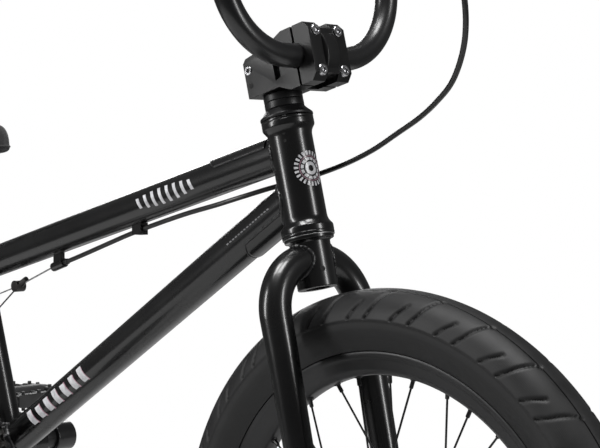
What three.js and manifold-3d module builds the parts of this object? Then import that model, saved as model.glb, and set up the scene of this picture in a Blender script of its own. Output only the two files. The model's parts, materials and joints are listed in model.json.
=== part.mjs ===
// A 20 inch BMX bicycle as an assembly of separate pieces.
// Millimetres and degrees. +X is forward, +Y is the rider's left, +Z is up.
// The origin is on the ground, midway between the two axles.

import * as THREE from 'three';
import { mergeVertices } from 'three/addons/utils/BufferGeometryUtils.js';
import Module from 'manifold-3d';

// Overall layout
const TYRE_HEIGHT = 54.7;
const FRONT_CENTRE = 577.8;
const CHAIN_STAY_LENGTH = 355;
const BRACKET_HEIGHT = 319.4;
const HEAD_ANGLE = 75.65;
const FORK_OFFSET = 28.7;
const SEAT_ANGLE = 72.25;

// Clearances
const GAP = 0.3;
const RUNNING = 0.4;

// Head tube and headset, heights measured along the steering axis from the front axle's level
const HEAD_LENGTH = 113;
const CROWN_TO_AXLE = 323.8;
const HEAD_RADIUS = 20.75;
const HEAD_FLARE_RADIUS = 24.8;
const HEAD_FLARE_LENGTH = 11;
const BEARING_RADIUS = 20.6;
const BEARING_HEIGHT = 7;
const STEERER_RADIUS = 14.3;
const STEERER_WALL = 2.8;
const CAP_HEIGHT = 9.5;
const SPACER_HEIGHT = 7.2;
const SPACER_RADIUS = 18.6;

// Frame tubes
const TOP_TUBE_RADIUS = 17.45;
const TOP_TUBE_DROP = 29.4;
const TOP_TUBE_ON_SEAT_TUBE = 209;
const DOWN_TUBE_RADIUS = 19.05;
const DOWN_TUBE_RISE = 40.7;
const SEAT_TUBE_RADIUS = 14.3;
const SEAT_TUBE_LENGTH = 250;
const TUBE_WALL = 1.3;
const SHELL_RADIUS = 23.5;
const SHELL_WIDTH = 68;
const SHELL_WALL = 2.7;
const STAY_RADIUS = 8.5;
const CHAIN_STAY_RADIUS = 9;
const STAY_WALL = 1.5;
const REAR_WIDTH = 110;
const DROPOUT_THICKNESS = 6;

// Fork
const CROWN_TUBE_RADIUS = 19;
const CROWN_TUBE_LENGTH = 44;
const LEG_SPREAD = 57;
const LEG_SPREAD_LOW = 55.5;
const LEG_RADIUS_TOP = 14.9;
const LEG_RADIUS_LOW = 12.4;
const LEG_WALL = 2;
const LEG_SETBACK = 4;
const LEG_SETBACK_LOW = 8;
const LEG_END_HEIGHT = 24;
const FRONT_WIDTH = 100;

// Stem and handlebar
const STEM_REACH = 47.5;
const STEM_HEIGHT_ON_AXIS = 483.1;
const STEM_WIDTH = 48;
const STEM_CLAMP_HEIGHT = 38;
const FACEPLATE_HEIGHT = 56;
const STEM_BOLT_ACROSS = 14.7;
const STEM_BOLT_UP = 17.2;
const NOTCH_HALF = 7.5;
const NOTCH_HEIGHT = 6.5;
const NOTCH_DEPTH = 9;
const BOLT_HEAD_RADIUS = 5.1;
const BOLT_SHANK_RADIUS = 3;
const BAR_RADIUS = 11.1;
const BAR_WALL = 1.6;
const BAR_RISE = 222;
const BAR_LEAN = 8;
const BAR_CLAMP_HALF = 36.3;
const BAR_LOWER_BEND = 74.7;
const BAR_UPPER_BEND = 60;
const BAR_SPLAY = 11.35;
const BAR_GRIP_SECTION = 170;
const BAR_BACKSWEEP = 11;
const CROSSBAR_RISE = 128;
const CROSSBAR_RADIUS = 8;
const GRIP_RADIUS = 15.5;
const GRIP_LENGTH = 140;

// Wheels
const TYRE_SECTION_RADIUS = 29.5;
const TYRE_THICKNESS = 4;
const TYRE_SIDES = 32;
const BEAD_DEPTH = 3.4;
const RIM_RADIUS = 209.8;
const RIM_HALF_WIDTH = 17.5;
const RIM_WALL = 2.5;
const RIM_DEPTH = 22.8;
const SPOKES = 36;
const SPOKE_RADIUS = 1;
const SPOKE_HOLE_RADIUS = 3.2;
const SPOKE_STANDOFF = 1;
const FIRST_SPOKE_ANGLE = -23.4;
const FRONT_AXLE_RADIUS = 5;
const REAR_AXLE_RADIUS = 7;
const FRONT_FLANGE = { radius: 27, right: -32, left: 32, thickness: 3 };
const REAR_FLANGE = { radius: 31, right: -26, left: 33, thickness: 3.5 };

// Drivetrain
const CHAIN_PITCH = 12.7;
const SPROCKET_TEETH = 25;
const DRIVER_TEETH = 9;
const CHAIN_LINE = 49.5;
const CHAIN_WIDTH = 8.4;
const CHAIN_HALF_HEIGHT = 4.4;
const CRANK_LENGTH = 170;
const CRANK_TILT = 8;
const SPINDLE_RADIUS = 9.5;
const SPINDLE_LENGTH = 158;
const PEDAL_LENGTH = 98;
const PEDAL_WIDTH = 92;
const PEDAL_THICKNESS = 17;
const PEDAL_AXLE_RADIUS = 6;

// Seat
const POST_RADIUS = 12.7;
const POST_INSERTION = 90;
const SADDLE_LENGTH = 262;
const SADDLE_HALF_WIDTH = 66;
const SADDLE_NOSE_HALF_WIDTH = 20;
const SADDLE_PAD_HEIGHT = 34;
const SADDLE_TOP_HEIGHT = 686;
const SADDLE_NOSE_X = -132;
const SADDLE_TILT = 5;

// Brake
const HOUSING_RADIUS = 2.5;
const WIRE_RADIUS = 0.9;
const BRAKE_PIVOT_REACH = 232;
const BRAKE_PIVOT_SPREAD = 43;
const BRAKE_END_REACH = 333;
const BRAKE_END_SPREAD = 30;
const BRAKE_SHOE_DROP = 8.3;
const BRAKE_SHOE_HALF_LENGTH = 17;
const BRAKE_SHOE_HALF_HEIGHT = 4.5;
const BRAKE_SHOE_DEPTH = 11;
const PAD_CLEARANCE = 2.6;
const LEVER_LENGTH = 82;

// ---------------------------------------------------------------- geometry helpers

const wasm = await Module();
wasm.setup();
const rad = THREE.MathUtils.degToRad;
const v3 = (x, y, z) => new THREE.Vector3(x, y, z);

// A three.js geometry as a manifold solid, with its faces turned outward.
function solid(geometry) {
  const bare = geometry.clone();
  bare.deleteAttribute('normal');
  bare.deleteAttribute('uv');
  const merged = mergeVertices(bare, 1e-4);
  const points = merged.attributes.position.array;
  const faces = [];
  const source = merged.index.array;
  let volume = 0;
  const a = v3();
  const b = v3();
  const c = v3();
  for (let i = 0; i < source.length; i += 3) {
    const [p, q, r] = [source[i], source[i + 1], source[i + 2]];
    if (p === q || q === r || r === p) continue;
    a.fromArray(points, 3 * p);
    b.fromArray(points, 3 * q);
    c.fromArray(points, 3 * r);
    volume += a.dot(b.cross(c));
    faces.push(p, q, r);
  }
  if (volume < 0) faces.reverse();
  return new wasm.Manifold(new wasm.Mesh({
    numProp: 3,
    vertProperties: new Float32Array(points),
    triVerts: new Uint32Array(faces),
  }));
}

const join = (...pieces) => pieces.reduce((whole, piece) => whole.add(piece));
const cut = (whole, ...tools) => tools.reduce((rest, tool) => rest.subtract(tool), whole);
const shift = (piece, x, y, z) => piece.translate([x, y, z]);
const mirrored = (piece) => piece.mirror([0, 1, 0]);

// A round bar between two points, with its own radius at each end.
function rod(from, to, radiusFrom, radiusTo = radiusFrom, sides = 12) {
  const along = to.clone().sub(from);
  const geometry = new THREE.CylinderGeometry(radiusTo, radiusFrom, along.length(), sides);
  const turn = new THREE.Quaternion().setFromUnitVectors(v3(0, 1, 0), along.clone().normalize());
  geometry.applyQuaternion(turn);
  const middle = from.clone().add(to).multiplyScalar(0.5);
  geometry.translate(middle.x, middle.y, middle.z);
  return solid(geometry);
}

// The same bar, longer at both ends, for cutting through.
function drill(from, to, radius, sides = 12, extra = 5) {
  const along = to.clone().sub(from).normalize().multiplyScalar(extra);
  return rod(from.clone().sub(along), to.clone().add(along), radius, radius, sides);
}

const pipe = (from, to, outer, inner, sides = 16) => cut(
  rod(from, to, outer, outer, sides),
  drill(from, to, inner, sides),
);

// A closed outline of [radius, height] points turned about Z.
function turned(outline, segments = 16) {
  const points = outline.map(([radius, height]) => new THREE.Vector2(radius, height));
  points.push(points[0].clone());
  const geometry = new THREE.LatheGeometry(points, segments);
  geometry.rotateX(Math.PI / 2);
  return solid(geometry);
}

// The same outline turned about Y, as wheels and hubs are; heights run along +Y.
const turnedAcross = (outline, segments = 16) => turned(outline, segments).rotate([-90, 0, 0]);

function block(low, high) {
  const size = high.clone().sub(low);
  const geometry = new THREE.BoxGeometry(size.x, size.y, size.z);
  geometry.translate((low.x + high.x) / 2, (low.y + high.y) / 2, (low.z + high.z) / 2);
  return solid(geometry);
}

// A flat outline of [x, z] points made thick along Y, from y0 to y1.
function plate(outline, y0, y1, holes = []) {
  const shape = new THREE.Shape(outline.map(([x, z]) => new THREE.Vector2(x, z)));
  for (const hole of holes) {
    shape.holes.push(new THREE.Path(hole.map(([x, z]) => new THREE.Vector2(x, z))));
  }
  const geometry = new THREE.ExtrudeGeometry(shape, { depth: y1 - y0, bevelEnabled: false });
  geometry.rotateX(Math.PI / 2);
  geometry.translate(0, y1, 0);
  return solid(geometry);
}

function arcPoints(cx, cz, radius, fromDeg, toDeg, steps) {
  const points = [];
  for (let i = 0; i <= steps; i += 1) {
    const angle = rad(fromDeg + (toDeg - fromDeg) * i / steps);
    points.push([cx + radius * Math.cos(angle), cz + radius * Math.sin(angle)]);
  }
  return points;
}

// A path through chosen points that keeps every one of them as a station.
class StationPath extends THREE.Curve {
  constructor(stations) {
    super();
    this.stations = stations;
  }
  getPoint(t) {
    const last = this.stations.length - 1;
    const i = Math.min(Math.floor(t * last + 1e-9), last - 1);
    return this.stations[i].clone().lerp(this.stations[i + 1], t * last - i);
  }
  getPointAt(t) {
    return this.getPoint(t);
  }
  getTangentAt(t) {
    const last = this.stations.length - 1;
    const i = Math.round(t * last);
    const before = this.stations[Math.max(i - 1, 0)];
    const after = this.stations[Math.min(i + 1, last)];
    return after.clone().sub(before).normalize();
  }
  getSpacedPoints() {
    return this.stations.map((station) => station.clone());
  }
}

// Corner points joined by straight lines, with each inner corner rounded to its radius.
function rounded(corners, radii, steps) {
  const stations = [corners[0]];
  for (let i = 1; i < corners.length - 1; i += 1) {
    const back = corners[i - 1].clone().sub(corners[i]).normalize();
    const on = corners[i + 1].clone().sub(corners[i]).normalize();
    const half = back.angleTo(on) / 2;
    const reach = radii[i - 1] / Math.tan(half);
    const centreWay = back.clone().add(on).normalize();
    const centre = corners[i].clone().addScaledVector(centreWay, radii[i - 1] / Math.sin(half));
    const start = corners[i].clone().addScaledVector(back, reach).sub(centre);
    const axis = start.clone().cross(corners[i].clone().addScaledVector(on, reach).sub(centre));
    const sweep = Math.PI - 2 * half;
    for (let k = 0; k <= steps; k += 1) {
      const spoke = start.clone().applyAxisAngle(axis.clone().normalize(), sweep * k / steps);
      stations.push(centre.clone().add(spoke));
    }
  }
  stations.push(corners[corners.length - 1]);
  return stations;
}

// A round section carried along stations; with an inner radius it is a tube open at both ends.
function swept(stations, outer, inner = 0, sides = 8) {
  const ring = (radius) => {
    const points = [];
    for (let i = 0; i < sides; i += 1) {
      const angle = 2 * Math.PI * i / sides;
      points.push(new THREE.Vector2(radius * Math.cos(angle), radius * Math.sin(angle)));
    }
    return points;
  };
  const shape = new THREE.Shape(ring(outer));
  if (inner > 0) shape.holes.push(new THREE.Path(ring(inner)));
  return solid(new THREE.ExtrudeGeometry(shape, {
    steps: stations.length - 1,
    extrudePath: new StationPath(stations),
  }));
}

// ---------------------------------------------------------------- finishes

function finish(color, roughness, metalness) {
  return () => new THREE.MeshStandardMaterial({ color, roughness, metalness });
}
const blackPaint = finish(0x0b0b0c, 0.25, 0.2);
const satinBlack = finish(0x161617, 0.45, 0.4);
const bareSteel = finish(0xb9bbbe, 0.3, 0.9);
const darkSteel = finish(0x3a3a3c, 0.4, 0.8);
const rubber = finish(0x1c1c1d, 0.85, 0);
const gripRubber = finish(0x141414, 0.9, 0);
const plastic = finish(0x121213, 0.55, 0);
const padCover = finish(0x17171a, 0.8, 0);
const cableCover = finish(0x0d0d0e, 0.35, 0);

// ---------------------------------------------------------------- layout points

const tyreRadius = RIM_RADIUS + TYRE_HEIGHT;
const bracketRise = BRACKET_HEIGHT - tyreRadius;
const rearCentre = Math.sqrt(CHAIN_STAY_LENGTH ** 2 - bracketRise ** 2);
const wheelbase = FRONT_CENTRE + rearCentre;
const frontAxle = v3(wheelbase / 2, 0, tyreRadius);
const rearAxle = v3(-wheelbase / 2, 0, tyreRadius);
const bracket = v3(rearAxle.x + rearCentre, 0, BRACKET_HEIGHT);

const bike = new THREE.Group();
bike.name = 'bmx_bike';

// The steering group's Z runs up the steering axis and its X runs forward, square to it.
const steering = new THREE.Group();
const headLean = rad(90 - HEAD_ANGLE);
const axisUp = v3(-Math.sin(headLean), 0, Math.cos(headLean));
const axisFront = v3(Math.cos(headLean), 0, Math.sin(headLean));
steering.position.copy(frontAxle).addScaledVector(axisFront, -FORK_OFFSET);
steering.rotation.y = -headLean;
steering.updateMatrixWorld(true);
bike.add(steering);

const onAxis = (height) => steering.position.clone().addScaledVector(axisUp, height);
const fromSteering = (point) => point.clone().applyMatrix4(steering.matrixWorld);

const seatUp = v3(-Math.cos(rad(SEAT_ANGLE)), 0, Math.sin(rad(SEAT_ANGLE)));
const onSeatTube = (length) => bracket.clone().addScaledVector(seatUp, length);

const headBottom = CROWN_TO_AXLE;
const headTop = CROWN_TO_AXLE + HEAD_LENGTH;
const topTubeFront = onAxis(headTop - TOP_TUBE_DROP);
const topTubeRear = onSeatTube(TOP_TUBE_ON_SEAT_TUBE);
const downTubeFront = onAxis(headBottom + DOWN_TUBE_RISE);

function add(name, piece, material, parent = bike) {
  const raw = piece.getMesh();
  const geometry = new THREE.BufferGeometry();
  geometry.setAttribute('position', new THREE.BufferAttribute(new Float32Array(raw.vertProperties), 3));
  geometry.setIndex(new THREE.BufferAttribute(new Uint32Array(raw.triVerts), 1));
  geometry.computeVertexNormals();
  const mesh = new THREE.Mesh(geometry, material());
  mesh.name = name;
  parent.add(mesh);
}

// ---------------------------------------------------------------- main frame

const HEAD_EDGE = 3;
const flareEnd = HEAD_FLARE_LENGTH + HEAD_EDGE;
const flareCutter = (low, high) => rod(onAxis(low), onAxis(high), HEAD_FLARE_RADIUS + GAP,
  HEAD_FLARE_RADIUS + GAP, 20);
const headCutter = join(
  drill(onAxis(headBottom), onAxis(headTop), HEAD_RADIUS + GAP, 20),
  flareCutter(headBottom - 1, headBottom + flareEnd),
  flareCutter(headTop - flareEnd, headTop + 1),
);
const seatCutter = drill(bracket, onSeatTube(SEAT_TUBE_LENGTH), SEAT_TUBE_RADIUS + GAP, 16);
const acrossBracket = (half) => [
  v3(bracket.x, -half, bracket.z),
  v3(bracket.x, half, bracket.z),
];
const shellCutter = rod(...acrossBracket(SHELL_WIDTH / 2 + 20), SHELL_RADIUS + GAP, SHELL_RADIUS + GAP, 20);

function addHeadTube() {
  const seat = BEARING_RADIUS + GAP;
  const seatDepth = BEARING_HEIGHT + 2 * GAP + 0.4;
  const bore = seat - 2.4;
  add('head_tube', turned([
    [seat, headBottom],
    [HEAD_FLARE_RADIUS, headBottom],
    [HEAD_FLARE_RADIUS, headBottom + HEAD_FLARE_LENGTH - HEAD_EDGE],
    [HEAD_RADIUS, headBottom + HEAD_FLARE_LENGTH + HEAD_EDGE],
    [HEAD_RADIUS, headTop - HEAD_FLARE_LENGTH - HEAD_EDGE],
    [HEAD_FLARE_RADIUS, headTop - HEAD_FLARE_LENGTH + HEAD_EDGE],
    [HEAD_FLARE_RADIUS, headTop],
    [seat, headTop],
    [seat, headTop - seatDepth],
    [bore, headTop - seatDepth],
    [bore, headBottom + seatDepth],
    [seat, headBottom + seatDepth],
  ], 20), blackPaint, steering);
}

function addMainTubes() {
  const topTube = pipe(topTubeFront, topTubeRear, TOP_TUBE_RADIUS, TOP_TUBE_RADIUS - TUBE_WALL);
  add('top_tube', cut(topTube, headCutter, seatCutter), blackPaint);
  const downTube = pipe(downTubeFront, bracket, DOWN_TUBE_RADIUS, DOWN_TUBE_RADIUS - TUBE_WALL);
  const lowTop = rod(topTubeFront, topTubeRear, TOP_TUBE_RADIUS + GAP, TOP_TUBE_RADIUS + GAP, 20);
  add('down_tube', cut(downTube, headCutter, shellCutter, seatCutter, lowTop), blackPaint);
  const seatTube = pipe(
    onSeatTube(SHELL_RADIUS - 6),
    onSeatTube(SEAT_TUBE_LENGTH),
    SEAT_TUBE_RADIUS,
    POST_RADIUS + GAP,
    16,
  );
  add('seat_tube', cut(seatTube, shellCutter), blackPaint);
  add('bottom_bracket_shell', pipe(
    ...acrossBracket(SHELL_WIDTH / 2),
    SHELL_RADIUS,
    SHELL_RADIUS - SHELL_WALL,
    20,
  ), blackPaint);
}

// Seat stays and brake arms are laid out from the rear axle towards the seat tube.
const stayFoot = onSeatTube(197.5);
const stayWay = stayFoot.clone().sub(rearAxle).normalize();
const stayReach = stayFoot.distanceTo(rearAxle);
const belowStay = v3(stayWay.z, 0, -stayWay.x);
const onStay = (reach, across, below = 0) => rearAxle.clone()
  .addScaledVector(stayWay, reach)
  .addScaledVector(belowStay, below)
  .add(v3(0, across, 0));

const plateMiddle = REAR_WIDTH / 2 + DROPOUT_THICKNESS / 2;

function addStays() {
  const wide = plateMiddle + 6.5;
  for (const [word, side] of [['right', -1], ['left', 1]]) {
    const seatStay = swept(rounded([
      onStay(38, side * wide),
      onStay(150, side * 52),
      onStay(278, side * 43),
      onStay(stayReach - 12, side * 13),
    ], [200, 60], 2), STAY_RADIUS, STAY_RADIUS - STAY_WALL);
    add(`seat_stay_${word}`, cut(seatStay, seatCutter), blackPaint);
    const towardsBracket = bracket.clone().sub(rearAxle).normalize();
    const onChainStay = (reach, across) => rearAxle.clone()
      .addScaledVector(towardsBracket, reach)
      .add(v3(0, across, 0));
    const chainStay = swept(rounded([
      onChainStay(38, side * wide),
      onChainStay(185, side * 46),
      onChainStay(278, side * 41.5),
      onChainStay(CHAIN_STAY_LENGTH - 12, side * 23),
    ], [300, 60], 2), CHAIN_STAY_RADIUS, CHAIN_STAY_RADIUS - STAY_WALL);
    add(`chain_stay_${word}`, cut(chainStay, shellCutter), blackPaint);
    addDropout(word, side);
  }
}

// A plate with a slot open to the rear, with notched tabs that meet the two stays.
function addDropout(word, side) {
  const slot = REAR_AXLE_RADIUS + RUNNING;
  const low = side > 0 ? REAR_WIDTH / 2 : -REAR_WIDTH / 2 - DROPOUT_THICKNESS;
  const at = (angle, reach) => [
    rearAxle.x + reach * Math.cos(rad(angle)),
    rearAxle.z + reach * Math.sin(rad(angle)),
  ];
  const stayAngle = THREE.MathUtils.radToDeg(Math.atan2(stayWay.z, stayWay.x));
  const chainAngle = THREE.MathUtils.radToDeg(Math.asin(bracketRise / CHAIN_STAY_LENGTH));
  const tab = 37.6;
  const outline = [
    ...arcPoints(rearAxle.x, rearAxle.z, slot, 90, -90, 8),
    [rearAxle.x - 22, rearAxle.z - slot],
    [rearAxle.x - 22, rearAxle.z - slot - 9],
    [rearAxle.x - 6, rearAxle.z - 20],
    at(chainAngle - 15, tab),
    at(chainAngle + 13, tab),
    at((chainAngle + stayAngle) / 2, 24),
    at(stayAngle - 13, tab),
    at(stayAngle + 13, tab),
    [rearAxle.x - 2, rearAxle.z + 20],
    [rearAxle.x - 22, rearAxle.z + slot + 9],
    [rearAxle.x - 22, rearAxle.z + slot],
  ];
  add(`dropout_${word}`, plate(outline, low, low + DROPOUT_THICKNESS), blackPaint);
}

// ---------------------------------------------------------------- headset

function addHeadset() {
  const bore = STEERER_RADIUS + GAP;
  const ring = (low) => turned([
    [bore, low],
    [BEARING_RADIUS, low],
    [BEARING_RADIUS, low + BEARING_HEIGHT],
    [bore, low + BEARING_HEIGHT],
  ]);
  add('headset_bearing_lower', ring(headBottom + GAP), darkSteel, steering);
  add('headset_bearing_upper', ring(headTop - GAP - BEARING_HEIGHT), darkSteel, steering);
  const capLow = headTop + GAP;
  add('headset_cap', turned([
    [bore, capLow],
    [HEAD_FLARE_RADIUS + 0.4, capLow],
    [HEAD_FLARE_RADIUS + 0.4, capLow + 2.4],
    [SPACER_RADIUS + 0.2, capLow + CAP_HEIGHT],
    [bore, capLow + CAP_HEIGHT],
  ]), satinBlack, steering);
  const spacerLow = capLow + CAP_HEIGHT + GAP;
  const groove = 0.8;
  const mid = spacerLow + SPACER_HEIGHT;
  add('headset_spacers', turned([
    [bore, spacerLow],
    [SPACER_RADIUS, spacerLow],
    [SPACER_RADIUS, mid - groove / 2],
    [SPACER_RADIUS - groove, mid],
    [SPACER_RADIUS, mid + groove / 2],
    [SPACER_RADIUS, spacerLow + 2 * SPACER_HEIGHT],
    [bore, spacerLow + 2 * SPACER_HEIGHT],
  ]), satinBlack, steering);
}

const stemLow = headTop + 2 * GAP + CAP_HEIGHT + 2 * SPACER_HEIGHT + GAP;
const stemHigh = stemLow + STEM_CLAMP_HEIGHT;

// ---------------------------------------------------------------- fork

function addFork() {
  const crownTop = headBottom - GAP;
  const crownLow = headBottom - 5 - CROWN_TUBE_LENGTH;
  const inner = STEERER_RADIUS - STEERER_WALL;
  const steerer = turned([
    [inner, crownLow],
    [CROWN_TUBE_RADIUS - 3.5, crownLow],
    [CROWN_TUBE_RADIUS, crownLow],
    [CROWN_TUBE_RADIUS, crownTop - 5],
    [HEAD_FLARE_RADIUS - 1, crownTop - 2.5],
    [HEAD_FLARE_RADIUS - 1, crownTop],
    [STEERER_RADIUS, crownTop],
    [STEERER_RADIUS, stemHigh - 3],
    [inner, stemHigh - 3],
  ]);
  add('fork_steerer', steerer, blackPaint, steering);
  const crownCutter = rod(v3(0, 0, crownLow - 40), v3(0, 0, crownTop - 1), CROWN_TUBE_RADIUS + GAP,
    CROWN_TUBE_RADIUS + GAP, 24);
  const plateLow = FRONT_WIDTH / 2;
  const bendLow = 236;
  const corner = v3(-LEG_SETBACK, -LEG_SPREAD, 300);
  const legTop = v3(-LEG_SETBACK, -LEG_SPREAD, bendLow);
  const legEnd = v3(-LEG_SETBACK_LOW, -LEG_SPREAD_LOW, LEG_END_HEIGHT);
  const bend = (radius) => join(
    swept(rounded([v3(-1, -8, 303), corner, legTop.clone().setZ(bendLow - 2)], [52], 4), radius, 0, 12),
    rod(legTop, legEnd, radius, radius - LEG_RADIUS_TOP + LEG_RADIUS_LOW, 12),
  );
  const hollow = cut(bend(LEG_RADIUS_TOP - LEG_WALL), block(v3(-40, -90, -20), v3(40, 20, LEG_END_HEIGHT + 3)));
  const legCore = cut(bend(LEG_RADIUS_TOP), hollow);
  const slot = FRONT_AXLE_RADIUS + RUNNING;
  const tip = plate([
    ...arcPoints(FORK_OFFSET, 0, slot, 0, 180, 6),
    [FORK_OFFSET - slot, -16],
    [FORK_OFFSET - slot - 9, -15],
    [-LEG_SETBACK_LOW - 9, 16],
    [-LEG_SETBACK_LOW - 10, LEG_END_HEIGHT + 14],
    [-LEG_SETBACK_LOW + 10, LEG_END_HEIGHT + 14],
    [FORK_OFFSET + 12, 12],
    [FORK_OFFSET + 14, -14],
    [FORK_OFFSET + slot, -16],
  ], -plateLow - DROPOUT_THICKNESS, -plateLow);
  const vent = drill(v3(-LEG_SETBACK, -LEG_SPREAD + 4, 60), v3(-LEG_SETBACK, -LEG_SPREAD + 12, 60), 2, 6);
  const leg = cut(join(legCore, tip), crownCutter, vent);
  add('fork_leg_right', leg, blackPaint, steering);
  add('fork_leg_left', mirrored(leg), blackPaint, steering);
}

// ---------------------------------------------------------------- stem

const barCentre = v3(STEM_REACH, 0, STEM_HEIGHT_ON_AXIS);
const half = STEM_WIDTH / 2;
const barBore = drill(
  barCentre.clone().setY(-half),
  barCentre.clone().setY(half),
  BAR_RADIUS + GAP,
  24,
);
const boltFront = STEM_REACH + 21;
const boltRear = STEM_REACH - 18;

function addStem() {
  const low = STEM_HEIGHT_ON_AXIS - FACEPLATE_HEIGHT / 2;
  const high = STEM_HEIGHT_ON_AXIS + FACEPLATE_HEIGHT / 2;
  const split = 1.2;
  const rear = -21;
  const body = plate([
    [rear, stemLow],
    [SPACER_RADIUS + 1.5, stemLow],
    [STEM_REACH - 14, low],
    [STEM_REACH - split, low],
    [STEM_REACH - split, high],
    [STEM_REACH - 14, high],
    [14, stemHigh + 4],
    [rear + 4, stemHigh],
    [rear, stemHigh - 4],
  ], -half, half);
  const steererBore = drill(v3(0, 0, stemLow), v3(0, 0, stemHigh), STEERER_RADIUS + GAP, 24, 20);
  const clampSlot = block(v3(rear - 5, -1, stemLow - 5), v3(-5, 1, stemHigh + 9));
  const pocket = (side) => plate([
    [17, stemLow + 7],
    [STEM_REACH - 16, low + 17],
    [STEM_REACH - 16, high - 17],
    [17, stemHigh - 4],
  ], side > 0 ? half - 5 : -half - 1, side > 0 ? half + 1 : -half + 5);
  const boltHoles = boltPlaces().map(([y, z]) => rod(
    v3(boltRear - 1, y, z),
    v3(boltFront + 20, y, z),
    BOLT_SHANK_RADIUS + GAP,
    BOLT_SHANK_RADIUS + GAP,
    8,
  ));
  const notches = [
    block(v3(STEM_REACH - NOTCH_DEPTH, -NOTCH_HALF, high - NOTCH_HEIGHT), v3(boltFront + 10, NOTCH_HALF, high + 1)),
    block(v3(STEM_REACH - NOTCH_DEPTH, -NOTCH_HALF, low - 1), v3(boltFront + 10, NOTCH_HALF, low + NOTCH_HEIGHT)),
  ];
  add('stem_body', cut(body, steererBore, barBore, clampSlot, pocket(1), pocket(-1), ...notches, ...boltHoles),
    satinBlack, steering);
  const facePlate = plate([
    [STEM_REACH + split, low],
    [STEM_REACH + 15, low],
    [STEM_REACH + 21, low + 7],
    [STEM_REACH + 21, high - 7],
    [STEM_REACH + 15, high],
    [STEM_REACH + split, high],
  ], -half, half);
  const counterbores = boltPlaces().map(([y, z]) => rod(
    v3(boltFront - 4, y, z),
    v3(boltFront + 20, y, z),
    BOLT_HEAD_RADIUS + GAP,
    BOLT_HEAD_RADIUS + GAP + 0.2,
    10,
  ));
  add('stem_faceplate', cut(facePlate, barBore, ...notches, ...boltHoles, ...counterbores),
    satinBlack, steering);
  boltPlaces().forEach(([y, z], i) => {
    const bolt = join(
      rod(v3(boltRear, y, z), v3(boltFront, y, z), BOLT_SHANK_RADIUS, BOLT_SHANK_RADIUS, 6),
      rod(v3(boltFront - 3.6, y, z), v3(boltFront + 1.6, y, z), BOLT_HEAD_RADIUS, BOLT_HEAD_RADIUS, 10),
    );
    const socket = rod(v3(boltFront - 1.4, y, z), v3(boltFront + 3, y, z), 2.9, 2.9, 6);
    add(`faceplate_bolt_${i + 1}`, cut(bolt, socket), bareSteel, steering);
  });
}

function boltPlaces() {
  const places = [];
  for (const z of [1, -1]) {
    for (const y of [-1, 1]) {
      places.push([y * STEM_BOLT_ACROSS, STEM_HEIGHT_ON_AXIS + z * (STEM_BOLT_UP + 1.6)]);
    }
  }
  return places;
}

// ---------------------------------------------------------------- handlebar and grips

// A point on the bar's leaning plane: out to the side, up from the clamp, and back by the sweep.
function onBar(side, out, up, back = 0) {
  return v3(
    STEM_REACH + up * Math.sin(rad(BAR_LEAN)) - back,
    side * out,
    STEM_HEIGHT_ON_AXIS + up * Math.cos(rad(BAR_LEAN)),
  );
}

const splay = rad(BAR_SPLAY);
const lowerCornerOut = BAR_CLAMP_HALF + BAR_LOWER_BEND * Math.tan((Math.PI / 2 - splay) / 2);
const upperCornerOut = lowerCornerOut + BAR_RISE * Math.tan(splay);
const gripStartOut = upperCornerOut + BAR_UPPER_BEND * Math.tan((Math.PI / 2 - splay) / 2) + 2;
const sweep = rad(BAR_BACKSWEEP);
const alongGrip = (side, length) => onBar(
  side,
  upperCornerOut + (gripStartOut - upperCornerOut + length) * Math.cos(sweep),
  BAR_RISE,
  (gripStartOut - upperCornerOut + length) * Math.sin(sweep),
);

function addHandlebar() {
  const corners = [
    alongGrip(-1, BAR_GRIP_SECTION),
    onBar(-1, upperCornerOut, BAR_RISE),
    onBar(-1, lowerCornerOut, 0),
    onBar(1, lowerCornerOut, 0),
    onBar(1, upperCornerOut, BAR_RISE),
    alongGrip(1, BAR_GRIP_SECTION),
  ];
  const bends = [BAR_UPPER_BEND, BAR_LOWER_BEND, BAR_LOWER_BEND, BAR_UPPER_BEND];
  const stations = rounded(corners, bends, 5);
  const bar = swept(stations, BAR_RADIUS, BAR_RADIUS - BAR_WALL, 8);
  const reachOut = lowerCornerOut + CROSSBAR_RISE * Math.tan(splay);
  const crossbar = rod(onBar(-1, reachOut, CROSSBAR_RISE), onBar(1, reachOut, CROSSBAR_RISE),
    CROSSBAR_RADIUS, CROSSBAR_RADIUS, 8);
  const core = swept(stations, BAR_RADIUS - BAR_WALL - 0.01, 0, 8);
  add('handlebar', join(bar, cut(crossbar, core)), blackPaint, steering);
  for (const [word, side] of [['right', -1], ['left', 1]]) {
    const inner = alongGrip(side, BAR_GRIP_SECTION - GRIP_LENGTH);
    const outer = alongGrip(side, BAR_GRIP_SECTION + 3);
    const flangeEnd = alongGrip(side, BAR_GRIP_SECTION - GRIP_LENGTH + 5);
    const grip = cut(
      join(
        rod(inner, outer, GRIP_RADIUS, GRIP_RADIUS, 12),
        rod(inner, flangeEnd, GRIP_RADIUS + 7, GRIP_RADIUS + 7, 12),
      ),
      rod(alongGrip(side, 5), alongGrip(side, BAR_GRIP_SECTION + GAP), BAR_RADIUS + GAP + 0.6, BAR_RADIUS + GAP + 0.6, 12),
    );
    add(`grip_${word}`, grip, gripRubber, steering);
  }
}

// ---------------------------------------------------------------- wheels

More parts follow.
